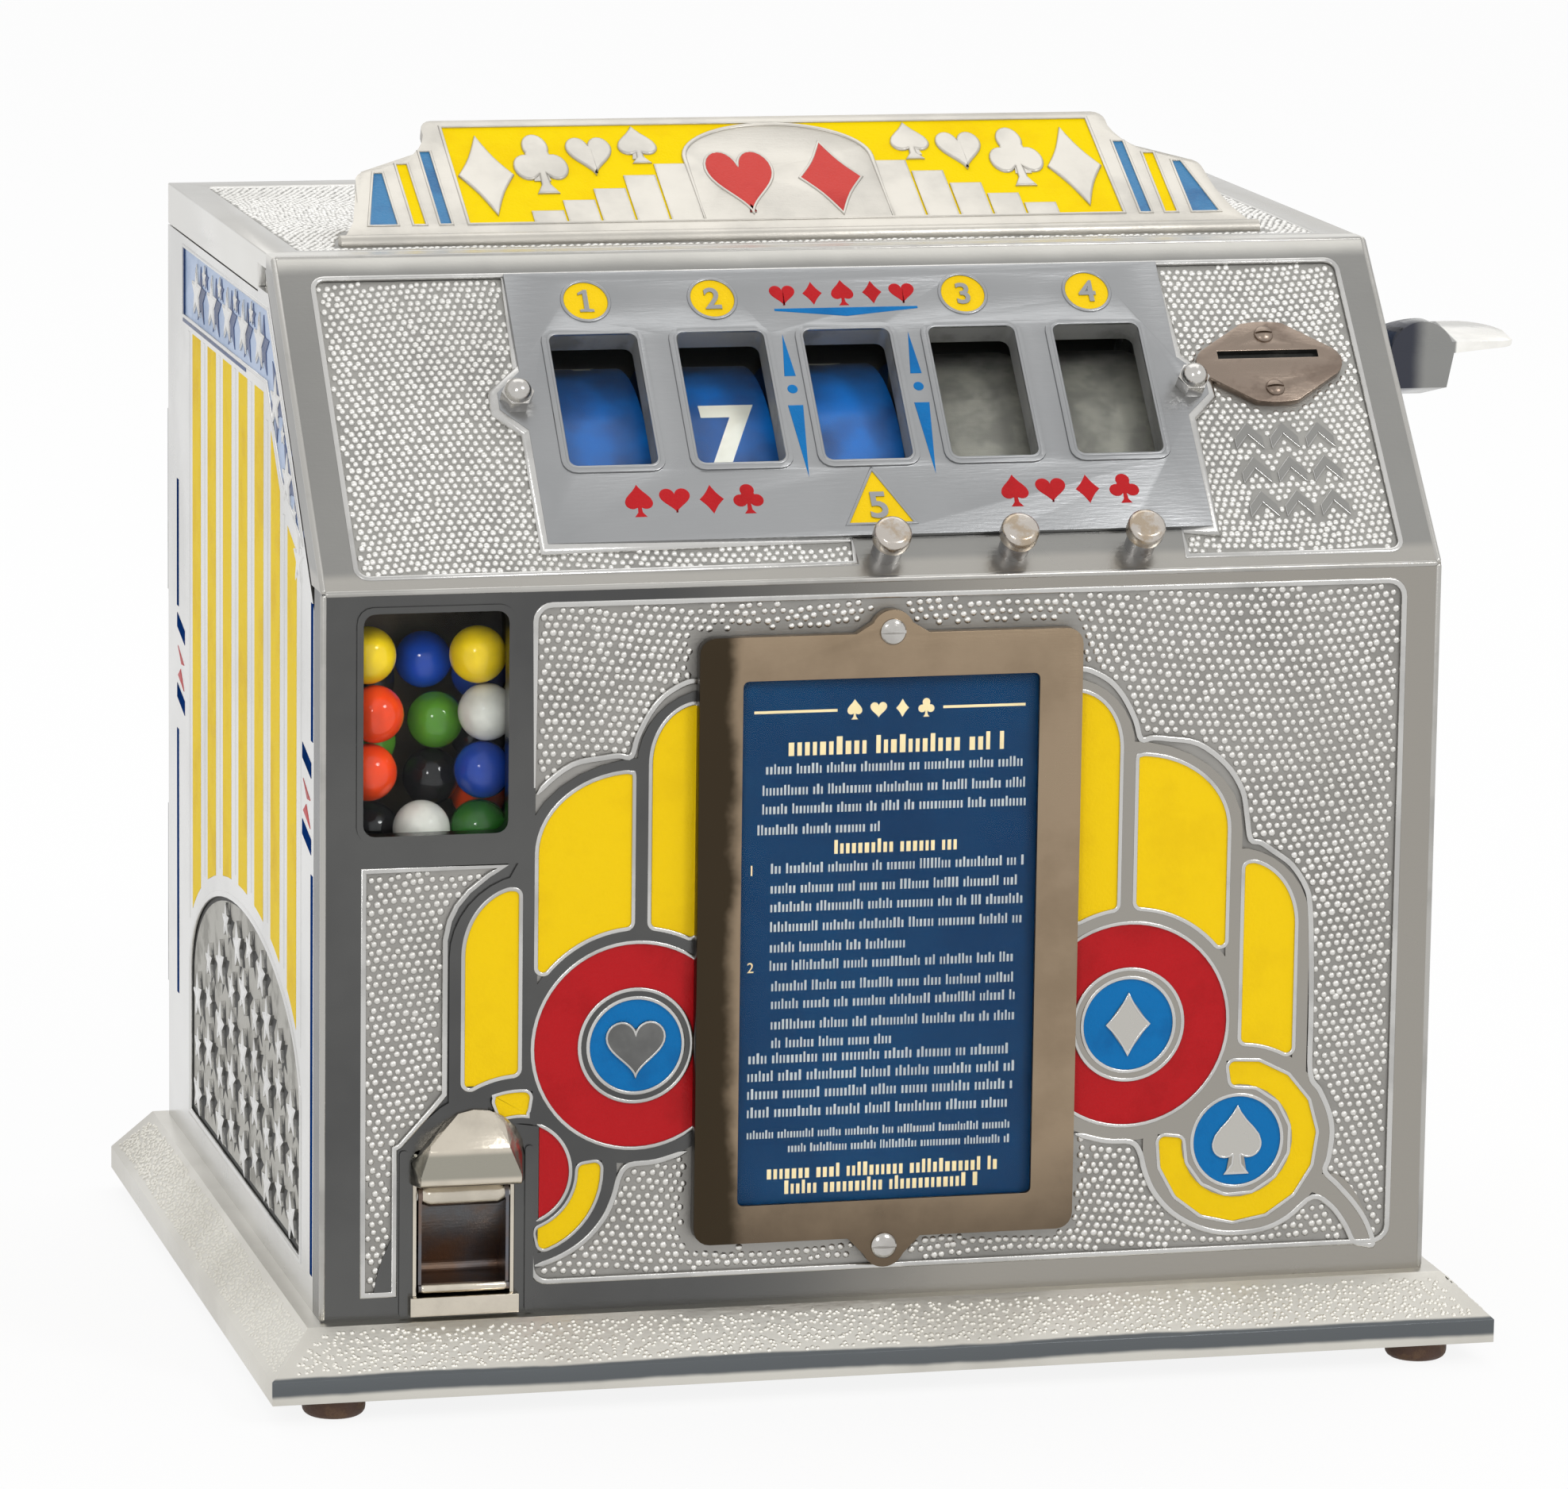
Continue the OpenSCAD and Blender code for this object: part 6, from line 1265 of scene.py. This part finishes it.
handled = setNode(tree, "Group", node_tree=handledMetal)
feed(handled, {"Vector": setNode(tree, "TexCoord").outputs["Object"], "Patch Scale": 160.0, "Fleck Scale": 700.0})
tint = setNode(tree, "VertexColor", layer_name="tint").outputs["Color"]
shade = spread(tree, handled.outputs["Patches"], to=(0.82, 1.08))
mixed = setNode(tree, "VectorMath", {0: tint, "Scale": shade}, operation="SCALE")
feed(shader, {"Base Color": mixed.outputs[0], "Roughness": spread(tree, handled.outputs["Flecks"], to=(0.05, 0.12))})
ballPiece = makePiece("gumballs_coloured", "sugarShell", slot="gum_shell", smooth=180, replaces=("gumballs",))
layer = ballPiece.data.color_attributes.new("tint", "FLOAT_COLOR", "POINT")
layer.data.foreach_set("color", tints.astype(np.float32).ravel())
print("gumballs coloured")


# Fittings with rounded edges

softCopy("lever", "leverNickel", 0.9)
softCopy("cup_hood", "hoodNickel", 0.5, sharp=60.0)
for node in ("house_button", "draw_3_button", "draw_4_button"):
    softCopy(node, "buttonBrass", 0.7)
softCopy("plate_nuts", "nickel", 0.25)
print("fittings finished")


# Floor, light and the colour of the surroundings

def shownRays(tree):
    # One for rays that show the background: seen directly, in metal or through glass
    way = setNode(tree, "LightPath").outputs
    direct = maths(tree, "MAXIMUM", way["Is Camera Ray"], way["Is Glossy Ray"])
    return maths(tree, "MAXIMUM", direct, way["Is Transmission Ray"])


def makeFloor(reach=20, whiteShare=0.88):
    mesh = bpy.data.meshes.new("floor")
    mesh.from_pydata([(x, y, 0) for x, y in boxLine(-reach, -reach, reach, reach)], [], [(0, 1, 2, 3)])
    material, tree, shader = newMaterial("floorWhite", {"Base Color": (0.9, 0.9, 0.9, 1), "Roughness": 0.9})
    mesh.materials.append(material)
    # Where it shows, the floor is mostly plain white and keeps part of its shadow
    mix = setNode(tree, "MixShader", {0: maths(tree, "MULTIPLY", shownRays(tree), whiteShare), 1: shader.outputs[0],
                                      2: setNode(tree, "Emission").outputs[0]})
    feed(outputOf(tree), {"Surface": mix.outputs[0]})
    putIn("floor", mesh)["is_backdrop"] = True


def addLamp(name, place, aim, size, power):
    data = bpy.data.lights.new(name, "AREA")
    data.shape, data.size, data.size_y, data.energy = "RECTANGLE", size[0], size[1], power
    lamp = putIn(name, data)
    lamp.location = place
    lamp.rotation_euler = (Vector(aim) - Vector(place)).to_track_quat("-Z", "Y").to_euler()


def makeWorld():
    # Lit from all round, brighter from the rear and above, and seen as plain white
    world = bpy.data.worlds.new("studio")
    world.use_nodes = True
    bpy.context.scene.world = world
    tree = world.node_tree
    tree.nodes.clear()
    coord = setNode(tree, "TexCoord").outputs["Generated"]
    split = setNode(tree, "SeparateXYZ", {0: coord}).outputs
    strength = maths(tree, "ADD", spread(tree, split["Y"], (-1.0, 0.25), (0.28, 0.66), smooth=True),
                     spread(tree, split["Z"], (-0.1, 0.8), (0.0, 0.34), smooth=True))
    lit, seen = (setNode(tree, "Background", {"Color": (1, 1, 1, 1), "Strength": s}) for s in (strength, 1.0))
    choose = setNode(tree, "MixShader", {0: shownRays(tree), 1: lit.outputs[0], 2: seen.outputs[0]})
    setNode(tree, "OutputWorld", {"Surface": choose.outputs[0]})


lamps = {"key_light": ((1.3, -2.0, 1.9), (0, 0, 0.15), (0.6, 0.5), 16),
         "fill_light": ((-1.2, -2.3, 1.25), (0, 0, 0.15), (0.36, 0.36), 7),
         "top_light": ((0.2, 0.9, 2.3), (0, 0, 0.2), (2.2, 1.6), 10)}
makeFloor()
for name, settings in lamps.items():
    addLamp(name, *settings)
makeWorld()
bpy.context.scene.view_settings.view_transform = "Standard"
low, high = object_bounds()
print("stage and light set")
